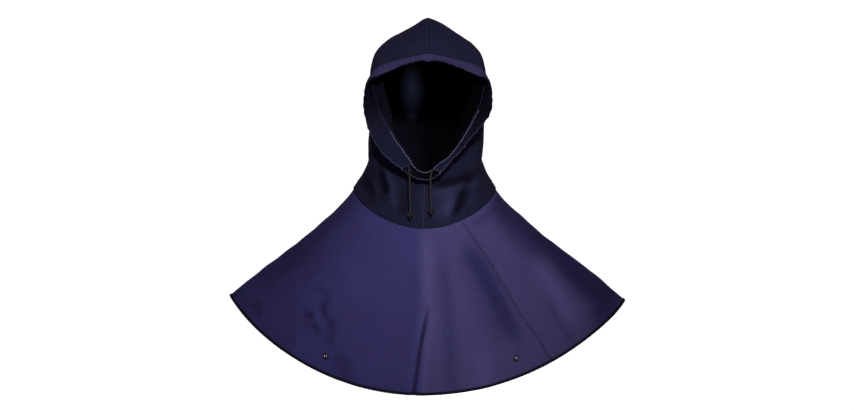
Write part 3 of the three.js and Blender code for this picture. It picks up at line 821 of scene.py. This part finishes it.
# More points on a closed smooth curve through the points given
def closedSmooth(points, between):
    t = (np.arange(between) / between)[None, :, None]
    curve = curveBetween(*(np.roll(points, k, 0)[:, None, :] for k in (1, 0, -1, -2)), t)
    return curve.reshape(-1, points.shape[1])


faceLoop, middle, lean, faceShare = (closedSmooth(part, casing["between"]) for part in casingFrames())
run = closedRun(middle)
lean = squareTo(run, lean)
outwards = np.cross(lean, run)
faceShare = faceShare[:, 0]
faceRun = runLength(middle)
slack = smoothStep(faceShare, *casing["slack"])[:, None]
# the tunnel stops on either side of the chin, where the cords leave it; between, one layer of cloth goes on
chin = len(middle) // 2
order = np.arange(len(middle))
rightEnd = nearestPoint(middle[:chin], cord["right"][cord["mouthPoint"]])
leftEnd = chin + nearestPoint(middle[chin:], cord["left"][cord["mouthPoint"]])
inChin = np.minimum(order - rightEnd, leftEnd - order)
tunnel = (1 - casing["chinThinner"] * smoothStep(inChin, 0, 2))[:, None]


# A table's value at each point round the face
def alongFace(table):
    return np.interp(np.clip(faceShare, 0, 1), *np.transpose(table))


# From the value at the brow to the one where the tunnel is slack
def bySlack(pair):
    return pair[0] + (pair[1] - pair[0]) * slack


drawn = (alongFace(casing["trim"]) + np.where(order < chin, alongFace(casing["rightTrim"]), 0))[:, None]


# Points of the tunnel's skin: across is -1 at the seam and 1 at the free edge, face is 1 outside, -1 inside
def casingSkin(across, face, rise=0.0):
    across, face = np.broadcast_arrays(np.atleast_2d(across), np.atleast_2d(face))
    full = alongRows(casing["fullness"], across.ravel())[:, 0].reshape(across.shape)
    height = np.sqrt(np.maximum(1 - across**2, 0)) ** casing["swell"] * full * casing["thickness"] / 2
    turns = fullTurn * faceRun[:, None]
    wander = ripple(middle, *casing["wander"])[:, None]
    pleat = turns / casing["gatherLength"] + casing["pleatWander"] * wander + casing["pleatSlant"] * across
    gather = bySlack(casing["gather"]) * np.sin(pleat) * smoothStep(across, *casing["gatherRange"])
    edge = np.sin(turns / casing["scallopLength"] + casing["scallopWander"] * wander)
    edge = edge + unevenLie(middle, [casing["rough"]])[:, None]
    a = across * casing["width"] / 2 - drawn * (across + 1) / 2 - casing["seamTuck"] * (across < -0.99)
    a = a + bySlack(casing["scallop"]) * edge * smoothStep(across, *casing["scallopRange"])
    b = face * (height * np.where(face < 0, tunnel, 1.0) + rise) + gather
    skin = middle[:, None] + lean[:, None] * a[..., None] + outwards[:, None] * b[..., None]
    skin[..., 2] -= alongFace(casing["droop"])[:, None] * smoothStep(across, *casing["droopRange"])
    pull = np.sign(faceLoop[:, 0]) * cheekPull(faceLoop[:, 2], 0.0, faceLoop[:, 0])
    skin[..., 0] -= pull[:, None] * (1 - smoothStep(across, *casing["pullRange"]))
    return skin


angles = ringAngles(casing["sides"])
rings = casingSkin(np.cos(angles), np.sign(np.sin(angles)) * (np.abs(np.sin(angles)) > 1e-6))
points, faces, rows, columns = ringTube(rings, True, -1)
around = runLength(np.concatenate([rings[0], rings[0][:1]]))
cut = np.stack([faceRun[np.minimum(rows, len(faceRun) - 1)], around[columns]], -1)
casingPiece = dress(meshPiece("faceCasingCloth", points, faces, litBandTwill, cut), "twill", "face_casing")
casingPiece.data.materials.append(turnedInShadeTwill)
casingPiece.data.materials.append(insidePaintedShade)
# the rim at the seam takes the turned-in face's painted shade, and the chin between the tunnel's ends takes
# the inside's near-black painted shade
turnedIn = np.mean(np.sin(angles[columns % casing["sides"]]), axis=1) < -0.05
widerFrom, narrow, wide = casing["rim"]
rim = np.where(faceShare[rows[:, 0] % len(middle)] > widerFrom, wide, narrow)
turnedIn |= np.mean(np.cos(angles[columns % casing["sides"]]), axis=1) < rim
atChin = (rows.min(axis=1) >= rightEnd) & (rows.max(axis=1) <= leftEnd)
casingPiece.data.polygons.foreach_set("material_index", (turnedIn * (1 + atChin)).astype(np.int32))
print("drawcord tunnel made")


# Press studs: a rolled socket on the face of the cape, a cap behind it, two spring wires across the socket
studShape = {
    # radius, height above the cape's face
    "socket": [
        (0.0, 0.9),
        (2.9, 0.9),
        (3.0, 2.3),
        (3.3, 2.7),
        (4.0, 2.85),
        (4.8, 2.6),
        (5.4, 2.0),
        (5.6, 1.3),
        (5.5, 0.5),
        (5.1, 0.15),
        (0.0, 0.15),
    ],
    "cap": [
        (0.0, -1.7),
        (4.7, -1.7),
        (5.1, -2.0),
        (5.2, -2.6),
        (4.9, -3.3),
        (4.2, -3.7),
        (2.0, -3.95),
        (0.0, -4.0),
    ],
    "sides": 40,
    "wireRadius": 0.5,
    "wireReach": 2.75,
    "wireApart": 1.15,
    "wireHeight": 2.2,
    "wireBow": 0.35,
    "rimHeight": 2.8,
}
# rim centre and axis of each stud, the turn of its spring wires, and its node
studs = {
    "studLeft": ((-177.78, -130.90, -585.34), (-0.27823, -0.93113, 0.23576), 90.0, "stud_left"),
    "studRight": ((154.76, -136.62, -588.58), (0.27176, -0.95081, 0.14871), 45.0, "stud_right"),
}


# Cape: a flattened cone from under the hood's lower edge to a lens-shaped hem
cape = {
    "under": 2.2,
    "tuck": 0.978,
    "halfWidth": 355,
    "frontDepth": 165,
    "backDepth": 170,
    "tipZ": -489,
    "tipTilt": 4,
    "sway": -7,
    "frontZ": -650,
    "backZ": -606,
    "tipRounding": 0.06,
    "flare": -0.06,
    "tipCrowding": 0.35,
    "frontCrowding": 0.45,
    "columns": 400,
    "creaseColumns": (0.975, 1.05, 46),  # closer ones where the sharp centre crease runs
    "rows": 110,
    "cloth": 1.5,
    "cutRadius": 244.0,
    "cutHalfAngle": 92.0,
    # height, width, and the line as x and z; each fold also gives its painted shade
    "folds": [
        (-5.5, 12, [(62, -391), (106, -453), (134, -510), (165, -572)]),
        (-3, 24, [(56, -391), (92, -453), (118, -510), (146, -572)]),
        (-3.5, 5, [(209, -486), (232, -530), (263, -572)]),
        (7, 20, [(196, -400), (232, -480), (270, -550)]),
        (-14, 2.2, [(1, -500), (-11, -562), (-30, -690)]),
        (4, 6, [(-9, -505), (-22, -562), (-40, -690)]),
        (4, 9, [(12, -505), (2, -562), (-14, -690)]),
        (3.5, 12, [(-4, -372), (0, -440), (2, -520)]),
        (-3, 12, [(20, -372), (28, -440), (36, -520), (44, -690)]),
        (-3, 6, [(-194, -468), (-172, -484)]),
        (-3, 6, [(-171, -483), (-184, -503)]),
        (-8, 5.5, [(-186, -494), (-183, -507), (-177, -524)]),
        (-5, 9, [(-176, -518), (-169, -536), (-172, -556), (-179, -574)]),
        (-7, 7, [(-218, -515), (-198, -521)]),
        (3, 7, [(-191, -510), (-188, -538)]),
        (-5, 7, [(-202, -531), (-187, -553)]),
        (2.5, 7, [(-224, -545), (-232, -592)]),
        (-5, 14, [(-138, -640), (-158, -578)]),
        (-4, 9, [(-309, -488), (-299, -524)]),
        (5, 20, [(94, -570), (108, -690)]),
        (-7, 24, [(-106, -270), (-150, -318), (-214, -382), (-270, -432), (-322, -482)]),
        (-5, 18, [(62, -352), (92, -330), (114, -300), (128, -268)]),
        (-11.5, 25, [(96, -268), (140, -318), (205, -385), (262, -436), (318, -486), (312, -560)]),
    ],
    # the one sewn seam of the front, x and z
    "seam": [(60, -354), (84, -387), (111, -427), (152, -498), (170, -527), (194, -559), (214, -594)],
    # how far the front stands out, and how far in from each side edge
    "rightTurn": (19.0, 30.0),
    "leftTurn": (13.0, 45.0),
    "foldFade": (-10, 12),
    "foldStart": (0, 0.06),
    "turnStart": (0.0, 0.12),
    "foldScale": 12.0,
    "fullDepth": 9.0,  # a crease narrower than this has more painted shade than its depth gives
    "seamRidge": 1.6,
    "seamWidth": 3.2,
    "seamSteps": 400,
    "seamSpan": (40, 240),
    # height, length and seed of each wave, and where they die down
    "waves": [(2.0, 170.0, 3), (0.45, 40.0, 4)],
    "neckCalm": (0.02, 0.25),
    "hemCalm": (0.9, 1.0),
    "hemHold": 0.8,
    "studCalm": (8, 30),
    "studFlat": (9, 32),
}


def hemLine(rounds):
    side = np.where(rounds <= 1, 1.0, -1.0)
    u = np.where(rounds <= 1, rounds, 2 - rounds)
    fromTip = 2 * u - 1
    away = np.abs(fromTip)
    half = 2 * np.arctan(np.where(fromTip > 0, cape["frontDepth"], cape["backDepth"]) / cape["halfWidth"])
    radius = cape["halfWidth"] / np.sin(half)
    soft = cape["tipRounding"]
    eased = (np.hypot(away, soft) - soft) / (math.hypot(1, soft) - soft)
    x = side * radius * np.sin(half * (1 - eased))
    y = -np.sign(fromTip) * radius * (np.cos(half * (1 - away)) - np.cos(half))
    lowest = np.where(fromTip > 0, cape["frontZ"], cape["backZ"])
    drop = cape["tipZ"] - side * cape["tipTilt"] - lowest
    dropRadius = (cape["halfWidth"] ** 2 + drop**2) / (2 * drop)
    z = lowest + dropRadius - np.sqrt(dropRadius**2 - x**2)
    return np.column_stack([x + cape["sway"] * (1 - (x / cape["halfWidth"]) ** 2), y, z])


def neckLine(rounds):
    vs = [cape["tuck"] - 0.02, cape["tuck"], 0.995, 1.0]
    found = np.empty((4, len(rounds), 3))
    for side, here in ((1, rounds <= 1), (-1, rounds > 1)):
        us = np.where(here, np.where(side > 0, rounds, 2 - rounds), 0.5)
        grid = hoodSurface(side, vs, us)[0]
        found[:, here] = grid[:, here]
    across = np.roll(found, -1, 1) - np.roll(found, 1, 1)
    above = unit(np.cross(across[1], found[1] - found[0]))
    below = unit(np.cross(across[3], found[3] - found[2]))
    return found[1] - cape["under"] * above, found[3] - cape["under"] * below


even = 2 * np.arange(cape["columns"]) / cape["columns"]
rounds = even + cape["tipCrowding"] * np.sin(fullTurn * even) / fullTurn
rounds = rounds + cape["frontCrowding"] * np.sin(math.pi * even) / math.pi
low, high, count = cape["creaseColumns"]
rounds = np.concatenate([rounds[rounds < low], np.linspace(low, high, count), rounds[rounds > high]])
top, start = neckLine(rounds)
end = hemLine(rounds)
reachDown = end - start
slant = np.linalg.norm(reachDown, axis=1, keepdims=True)
startSlope = unit(start - top) * slant
outward = unit(reachDown * (1, 1, 0))
endSlope = unit(reachDown + outward * cape["flare"] * slant) * slant
t = np.linspace(0, 1, cape["rows"])[:, None, None]
grid = start * ((1 + 2 * t) * (1 - t) ** 2) + startSlope * (t * (1 - t) ** 2)
grid = grid + end * (t * t * (3 - 2 * t)) + endSlope * (t * t * (t - 1))
hang = t[..., 0]
shown = smoothStep(hang, *cape["foldStart"])
creases = [(height * min(1, width / cape["fullDepth"]), width, line) for height, width, line in cape["folds"]]
folded = frontFolds(grid, cape["folds"], cape["foldFade"], shown)
grid[..., 1] -= frontFolds(grid, creases, cape["foldFade"], shown)
# the front turns away towards both side edges
x = grid[..., 0]
fromSide = np.abs(x - np.where(x > 0, x.max(1)[:, None], x.min(1)[:, None]))
for sign, (tall, reach) in ((1, cape["rightTurn"]), (-1, cape["leftTurn"])):
    here = (np.sign(x) == sign) & (np.abs(rounds - 1) < 0.5)[None]
    share = fromSide / reach
    grid[..., 1] -= here * tall * smoothStep(hang, *cape["turnStart"]) * share * np.exp((1 - share**2) / 2)
seam = np.array(cape["seam"], float)
dense = pointsAt(np.linspace(0, len(seam) - 1, cape["seamSteps"]), np.arange(len(seam)), seam)
fromSeam = np.full(grid.shape[:2], 1e3)
low, high = cape["seamSpan"]
onFront = (grid[..., 1] < 0) & (x > low) & (x < high)
spots = grid[onFront][:, [0, 2]]
fromSeam[onFront] = np.min(np.linalg.norm(spots[:, None] - dense[None], axis=2), axis=1)
grid[..., 1] -= cape["seamRidge"] * bell(fromSeam, cape["seamWidth"])
normals = gridNormals(grid, 1, True)
lift = unevenLie(grid, cape["waves"])
calm = smoothStep(hang, *cape["neckCalm"]) * (1 - cape["hemHold"] * smoothStep(hang, *cape["hemCalm"]))
for rim, *_ in studs.values():
    calm = calm * smoothStep(np.linalg.norm(grid - np.array(rim), axis=2), *cape["studCalm"])
grid = grid + normals * (lift * calm)[..., None]
for rim, axis, *_ in studs.values():  # flat under the studs
    above = (grid - np.array(rim)) @ np.array(axis) + studShape["rimHeight"]
    near = 1 - smoothStep(np.linalg.norm(grid - np.array(rim), axis=2), *cape["studFlat"])
    grid -= (above * near)[..., None] * np.array(axis)
outer = np.concatenate([top[None], grid])
normals = gridNormals(outer, 1, True)
inner = outer - cape["cloth"] * normals
fromTop = np.cumsum(np.concatenate([0 * slant.T, np.linalg.norm(np.diff(outer, axis=0), axis=2)]), axis=0)
fromTop = np.concatenate([fromTop, fromTop[:, :1]], 1)
angle = np.radians(cape["cutHalfAngle"]) * (np.concatenate([rounds, [2.0]]) - 1)[None]
fromCentre = cape["cutRadius"] + fromTop
flat = np.stack([fromCentre * np.sin(angle), -fromCentre * np.cos(angle)], -1)
# the fold value sets the painted shade in valleys and the painted highlight on ridges
fold = np.tanh(np.concatenate([folded[:1], folded]) / cape["foldScale"])
capePiece = dress(clothWall("capeCloth", outer, inner, flat, fold, True, 1, capeTwill), "twill", "cape")
print("cape made")


# Hem binding: a folded tape over the cape's edge, a little puckered by its stitching
binding = {
    "depth": 3.8,
    "wall": 1.1,
    "gap": 0.35,
    "pucker": 0.25,
    "puckerLength": 11.0,
    "wander": (80.0, 9),  # wave length and seed
    "turnSteps": 5,
    "lastStep": 6.0,
    "tapeWidth": 30.0,
}


def bindingRings():
    downOuter, downInner = (unit(wall[-1] - wall[-3]) for wall in (outer, inner))
    depth, gap = binding["depth"], binding["gap"]
    out = gap + binding["wall"]
    # share of the way from outer to inner face, down, out
    corners = [(0.0, -depth, out), (0.0, -depth * 0.5, out)]
    for a in np.linspace(0, math.pi, binding["turnSteps"]):  # round the lower edge, outside
        corners.append(((1 - math.cos(a)) / 2, out * math.sin(a), out * math.cos(a)))
    corners += [(1.0, -depth * 0.5, -out), (1.0, -depth, -out), (1.0, -depth, -gap)]
    corners += [(1.0, gap, -gap), (0.0, gap, gap), (0.0, -depth, gap)]
    length = runLength(outer[-1])
    beat = fullTurn * length / binding["puckerLength"] + ripple(outer[-1], *binding["wander"])
    wave = binding["pucker"] * np.sin(beat)
    rings = np.empty((outer.shape[1], len(corners), 3))
    for k, (share, below, wide) in enumerate(corners):
        base = outer[-1] * (1 - share) + inner[-1] * share
        down = unit(downOuter * (1 - share) + downInner * share)
        swell = wave * (1 if abs(wide) > gap + 0.01 or below > 0.5 else 0)
        rings[:, k] = base + down * below + normals[-1] * (wide + np.sign(wide) * swell)[:, None]
    return rings, length


rings, hemLength = bindingRings()
points, faces, rows, columns = ringTube(rings, True, -1)
hemLength = np.append(hemLength, hemLength[-1] + binding["lastStep"])
aroundTape = np.linspace(0, binding["tapeWidth"], rings.shape[1] + 1)
cut = np.stack([hemLength[rows], aroundTape[columns]], -1)
bindingPiece = dress(meshPiece("hemBindingTape", points, faces, hemTape, cut), "tape", "hem_binding")
print("hem binding made")


# Evenly spaced points on a smooth curve through the route
def smoothRoute(route, step):
    route = np.asarray(route, float)
    ends = np.concatenate([[2 * route[0] - route[1]], route, [2 * route[-1] - route[-2]]])
    t = np.linspace(0, 1, 24, endpoint=False)[None, :, None]
    curve = curveBetween(*(ends[k : len(ends) - 3 + k][:, None, :] for k in range(4)), t)
    curve = np.concatenate([curve.reshape(-1, 3), route[-1:]])
    lengths = runLength(curve)
    places = np.linspace(0, lengths[-1], max(2, round(lengths[-1] / step)) + 1)
    return pointsAt(places, lengths, curve), places


# Two directions across a path that don't twist along it
def pathFrames(path):
    along = unit(np.gradient(path, axis=0))
    across = np.empty_like(path)
    first = np.cross(along[0], (0.3, 0.9, 0.2))
    across[0] = first / np.linalg.norm(first)
    for k in range(1, len(path)):
        step = across[k - 1] - along[k] * np.dot(across[k - 1], along[k])
        across[k] = step / np.linalg.norm(step)
    return across, np.cross(along, across)


# A tube with its ends closed
def cappedTube(rings, turn):
    points, faces, _, _ = ringTube(rings, False, turn)
    count, sides = len(points), rings.shape[1]
    caps = [list(range(sides))[::-turn], list(range(count - sides, count))[::turn]]
    return points, faces.tolist() + caps


def plainTube(path, radius, sides):
    across, up = pathFrames(path)
    angles = ringAngles(sides)
    radius = np.broadcast_to(radius, len(path))[:, None, None]
    ring = across[:, None] * np.cos(angles)[None, :, None] + up[:, None] * np.sin(angles)[None, :, None]
    return cappedTube(path[:, None] + ring * radius, 1)


# One piece from many parts; a part with a third member takes the second material
def joinedPiece(name, parts, material, second):
    points, faces, marked, count = [], [], [], 0
    for partPoints, partFaces, *mark in parts:
        points.append(partPoints)
        faces += [[k + count for k in face] for face in partFaces]
        marked += [len(mark)] * len(partFaces)
        count += len(partPoints)
    piece = meshPiece(name, np.concatenate(points), faces, material)
    piece.data.materials.append(second)
    piece.data.polygons.foreach_set("material_index", marked)
    return piece


# Yarns that wind both ways round a path and cross over and under each other
def braided(path, places, radius, scale=1.0):
    across, up = pathFrames(path)
    angles = ringAngles(cord["yarnSides"])
    wide, high, crossing = (cord[part] * scale for part in ("yarnWidth", "yarnHeight", "crossing"))
    parts = [plainTube(path, radius * cord["core"], cord["coreSides"])]
    mean = radius - high - crossing
    for way in (1, -1):
        for k in range(cord["yarns"]):
            turn = way * fullTurn * places / cord["pitch"] + fullTurn * k / cord["yarns"]
            over = way * np.cos(2 * cord["yarns"] * math.pi * places / cord["pitch"] + math.pi * k)
            out = across * np.cos(turn)[:, None] + up * np.sin(turn)[:, None]
            line = path + out * (mean + crossing * over)[:, None]
            beside = unit(np.cross(np.gradient(line, axis=0), out))
            rings = line[:, None] + beside[:, None] * (wide * np.cos(angles))[None, :, None]
            rings = rings + out[:, None] * (high * np.sin(angles))[None, :, None]
            fleck = ["fleck"] if way < 0 and k % 2 == 0 else []
            parts.append((*cappedTube(rings, -1), *fleck))
    return parts


# An overhand knot drawn tight, with a short frayed tail
def knotParts(centre):
    t = np.linspace(0, fullTurn, 91)
    size = cord["knotSize"]
    x = size * (np.sin(t) + 2 * np.sin(2 * t))
    y = -1.1 * size * np.sin(3 * t)
    z = 0.95 * size * (np.cos(t) - 2 * np.cos(2 * t))
    path = np.column_stack([x, y, z]) + centre
    parts = braided(path, runLength(path), cord["knotYarn"], cord["knotScale"])
    rng = np.random.default_rng(cord["knotSeed"])
    foot = centre - (0, 0, cord["tailBelow"])
    places = np.linspace(0, cord["tail"] * cord["tailBraided"], cord["tailSteps"])
    tail = np.linspace(foot, foot - (0, 0, places[-1]), cord["tailSteps"])
    parts += braided(tail, places, cord["knotYarn"], cord["knotScale"])
    near, far = cord["fraySpread"]
    for _ in range(cord["frays"]):
        begin = tail[-1] + np.append(rng.uniform(-near, near, 2), 1.0)
        finish = begin + np.append(rng.uniform(-far, far, 2), -rng.uniform(*cord["frayLength"]))
        parts.append(plainTube(np.linspace(begin, finish, 4), np.linspace(*cord["frayRadius"], 4), 5))
    return parts


for side, tunnelEnd in (("left", leftEnd), ("right", rightEnd)):
    name = side.capitalize()
    route = np.array(cord[side])
    route[: len(cord["sink"])] += np.outer(cord["sink"], outwards[tunnelEnd])
    path, places = smoothRoute(route, cord["step"])
    braid = braided(path, places, cord["diameter"] / 2)
    cordEnd = dress(joinedPiece("cordEnd" + name, braid, blackBraid, oliveFleck), "cord", "cord_end_" + side)
    tied = knotParts(np.array(cord[side][-1]) - (0, 0, cord["knotBelow"]))
    knot = dress(joinedPiece("knot" + name, tied, blackBraid, oliveFleck), "cord", "knot_" + side)
    print("cord end", side, round(places[-1], 1), "mm")

# The stretch of cord inside the tunnel, from one cord end over the brow to the other
rightFrom = nearestPoint(middle[:chin], cord["right"][0])
leftFrom = chin + nearestPoint(middle[chin:], cord["left"][0])
inTunnel = middle - lean * 0.5 * np.maximum(drawn, 0)
hidden = np.concatenate([inTunnel[leftFrom + 2 :], inTunnel[: rightFrom - 1]])
path, places = smoothRoute(hidden[::4], cord["hiddenStep"])
braid = braided(path, places, cord["diameter"] / 2)
dress(joinedPiece("drawcordLoop", braid, blackBraid, oliveFleck), "cord", "drawcord_loop")
print("drawcord made,", round(places[-1]), "mm of it in the tunnel")


def turnedShape(profile, place, axis, across, up):
    sides, walls = studShape["sides"], profile[1:-1]
    angles = ringAngles(sides)
    ring = across * np.cos(angles)[:, None] + up * np.sin(angles)[:, None]
    points = [place + axis * h + ring * r for r, h in walls]
    points = np.concatenate(points + [[place + axis * profile[0][1], place + axis * profile[-1][1]]])
    last = (len(walls) - 1) * sides
    faces = []
    for k in range(sides):
        n = (k + 1) % sides
        faces += [[i + k, i + sides + k, i + sides + n, i + n] for i in range(0, last, sides)]
        faces += [[len(points) - 2, k, n], [len(points) - 1, last + n, last + k]]
    return points, faces


for name, (rim, axis, wireTurn, node) in studs.items():
    axis = np.array(axis)
    place = np.array(rim) - axis * studShape["rimHeight"]
    across = unit(np.cross((0, 0, 1.0), axis))
    up = np.cross(axis, across)
    parts = [turnedShape(studShape[part], place, axis, across, up) for part in ("socket", "cap")]
    way = across * math.cos(math.radians(wireTurn)) + up * math.sin(math.radians(wireTurn))
    beside = np.cross(axis, way)
    for apart in (-1, 1):
        centre = place + axis * studShape["wireHeight"] + beside * apart * studShape["wireApart"]
        line = np.linspace(centre - way * studShape["wireReach"], centre + way * studShape["wireReach"], 9)
        line = line + beside * apart * studShape["wireBow"] * np.cos(np.linspace(-1.57, 1.57, 9))[:, None]
        parts.append((*plainTube(line, studShape["wireRadius"], 8), "wire"))
    dress(joinedPiece(name, parts, blackOxide, springSteel), "stud", node)
print("studs made")


# One row of stitches along each line of the mesh it is given
def stitchRows():
    tree = bpy.data.node_groups.new("stitchRows", "GeometryNodeTree")
    sockets = {"Lines": "Geometry", "Spacing": "Float", "Length": "Float", "Thickness": "Float"}
    sockets.update(Wander="Float", Seed="Int", Thread="Material")
    for name, kind in sockets.items():
        tree.interface.new_socket(name, in_out="INPUT", socket_type="NodeSocket" + kind)
    tree.interface.new_socket("Stitches", in_out="OUTPUT", socket_type="NodeSocketGeometry")
    add = partial(addNode, tree)
    given = add("NodeGroupInput").outputs
    lines = add("GeometryNodeMeshToCurve", {}, {"Mesh": given["Lines"]})
    evenly = {"Curve": lines, "Length": given["Spacing"]}
    spaced = add("GeometryNodeResampleCurve", {"mode": "LENGTH"}, evenly)
    anyWay = {"data_type": "FLOAT_VECTOR", 0: (-1, -1, -1), 1: (1, 1, 1)}
    loose = add("FunctionNodeRandomValue", anyWay, {"Seed": given["Seed"]})
    wander = {0: loose, "Scale": given["Wander"]}
    shift = add("ShaderNodeVectorMath", {"operation": "SCALE"}, wander)
    moved = add("GeometryNodeSetPosition", {}, {"Geometry": spaced, "Offset": shift})
    along = add("GeometryNodeInputTangent")
    tilt = {"operation": "MULTIPLY_ADD", 1: (0.12, 0.12, 0.12)}
    tilted = add("ShaderNodeVectorMath", tilt, {0: loose, 2: along})
    turned = add("FunctionNodeAlignRotationToVector", {"axis": "X"}, {"Vector": tilted})
    bead = add("GeometryNodeMeshUVSphere", {"Segments": 6, "Rings": 4, "Radius": 0.5})
    lengths = {"X": given["Length"], "Y": given["Thickness"], "Z": given["Thickness"]}
    size = add("ShaderNodeCombineXYZ", {}, lengths)
    placed = {"Points": moved, "Instance": bead, "Rotation": turned, "Scale": size}
    sewn = add("GeometryNodeInstanceOnPoints", {}, placed)
    real = add("GeometryNodeRealizeInstances", {}, {"Geometry": sewn})
    dyed = {"Geometry": real, "Material": given["Thread"]}
    threaded = add("GeometryNodeSetMaterial", {}, dyed)
    add("NodeGroupOutput", {}, {"Stitches": threaded})
    return tree


stitchTree = stitchRows()


def sewLines(name, lines, look):
    edges, count = [], 0
    for line in lines:
        edges += [(count + k, count + k + 1) for k in range(len(line) - 1)]
        count += len(line)
    mesh = bpy.data.meshes.new(name)
    mesh.from_pydata((np.concatenate(lines) * mm).tolist(), edges, [])
    piece = newPiece(name, mesh)
    rows = piece.modifiers.new("stitches", "NODES")
    rows.node_group = stitchTree
    for socket in stitchTree.interface.items_tree:
        if socket.in_out == "INPUT" and socket.name in look:
            rows[socket.identifier] = look[socket.name]
    baked = bpy.data.meshes.new_from_object(piece.evaluated_get(bpy.context.evaluated_depsgraph_get()))
    piece.modifiers.clear()
    piece.data = baked
    baked.polygons.foreach_set("use_smooth", [True] * len(baked.polygons))
    dress(piece, "twill")


# Rows of stitching: on the tunnel as casingSkin takes them, then on the hood and the cape
sewing = {
    "outside": (-0.86, 1.0, 0.1),
    "inside": (-0.8, -1.0, 0.2),
    "freeEdge": (0.92, -1.0, 0.05),
    "endRise": 0.15,
    # heights where the rows on the tunnel's inside begin, dim and reach the chin
    "insideTop": -160,
    "dimAbove": -198,
    "chinTop": -246,
    "edgeTop": -178,
    "proud": 0.12,
    # rows along the hood's seams: side, distance from the seam, whether it is the throat's
    "seams": {
        "crownLeft": (-1, 3.2, False),
        "crownRight": (1, 3.2, False),
        "crownSeam": (1, 1.3, False),
        "crownEdge": (-1, 1.0, False),
        "throatLine": (1, 3.4, True),
        "throatSeam": (1, 1.0, True),
        "throatEdge": (-1, 1.6, True),
    },
    "capeApart": 3.6,
    "hemShare": (0.55, 0.45),
}


# A line down the rows of a panel at a distance from the crown or the throat seam
def panelLine(side, distance, atThroat):
    panel = panels[side]
    line = []
    for r in range(hood["rows"] - 1):
        lengths = panel["fromCrown"][r]
        lengths = lengths[-1] - lengths if atThroat else lengths
        order = np.argsort(lengths)
        spot = panel["outer"][r] + sewing["proud"] * panel["normals"][r]
        line.append(pointsAt([distance], lengths[order], spot[order])[0])
    return np.array(line)


stitch = {"Spacing": 3.0 * mm, "Length": 2.3 * mm, "Thickness": 0.7 * mm, "Wander": 0.1 * mm, "Seed": 3}
level = middle[:, 2]
outsideLine = casingSkin(*sewing["outside"])[:, 0][np.append(order, 0)]
inside = casingSkin(*sewing["inside"])[:, 0]
shown = (level < sewing["insideTop"]) & (level > sewing["chinTop"])
onLeft = shown & (order > chin)
dim = level >= sewing["dimAbove"]
insideLines = [inside[shown & (order < chin)], inside[onLeft & ~dim], inside[level <= sewing["chinTop"]]]
edge = casingSkin(*sewing["freeEdge"])[:, 0]
atEdge = level < sewing["edgeTop"]
edgeLines = [edge[atEdge & (order < rightEnd)], edge[atEdge & (order > leftEnd)]]
edgeLines.append(edge[rightEnd : leftEnd + 1])
across = np.linspace(sewing["freeEdge"][0], sewing["inside"][0], 12)
endLines = [casingSkin(across, -1.0, sewing["endRise"])[place] for place in (rightEnd, leftEnd)]
neckRows = [panels[side]["outer"][-3] + sewing["proud"] * panels[side]["normals"][-3] for side in (-1, 1)]
seams = {name: panelLine(*row) for name, row in sewing["seams"].items()}
crownLines = [seams["crownLeft"], seams["crownRight"]]
capeTree = BVHTree.FromObject(capePiece, bpy.context.evaluated_depsgraph_get())


def onCapeFront(line, beside):
    found = []
    for x, z in line:
        spot = capeTree.ray_cast(Vector(((x + beside) * mm, -0.5, z * mm)), Vector((0, 1, 0)))[0]
        if spot:
            found.append(np.array(spot) / mm - (0, 0.15, 0))
    return np.array(found)


capeSeams = [onCapeFront(dense, 0.0), onCapeFront(dense, sewing["capeApart"])]
upper, lower = sewing["hemShare"]
hemRow = rings[:, 0] * upper + rings[:, 1] * lower + 0.1 * normals[-1]
navyLook = dict(stitch, Thread=navyThread)
sewLines("navyStitching", [*neckRows, *crownLines, seams["throatLine"], hemRow], navyLook)
heavyLook = dict(navyLook, Length=3.2 * mm, Thickness=1.15 * mm)
heavyLines = [outsideLine, seams["crownSeam"], seams["throatSeam"], *capeSeams]
sewLines("heavyNavyStitching", heavyLines, heavyLook)
paleLook = dict(stitch, Thread=paleThread, Spacing=3.4 * mm, Length=3.2 * mm, Thickness=0.62 * mm)
sewLines("paleStitching", insideLines, paleLook)
# painted highlight: lavender stitches along the tunnel's free edge and at its ends
edgeHighlightLook = dict(stitch, Thread=edgeHighlightThread, Spacing=3.2 * mm, Length=3.0 * mm, Thickness=1.0 * mm)
sewLines("edgeHighlightStitching", [*edgeLines, *endLines], edgeHighlightLook)
# painted highlight: finer lavender rows beside the crown and throat seams; on the upper left the pale inside
# row takes this darker thread as painted shade
fineHighlightLook = dict(edgeHighlightLook, Thickness=0.6 * mm)
sewLines("fineHighlightStitching", [seams["throatEdge"], seams["crownEdge"], inside[onLeft & dim]], fineHighlightLook)
print("stitches sewn")
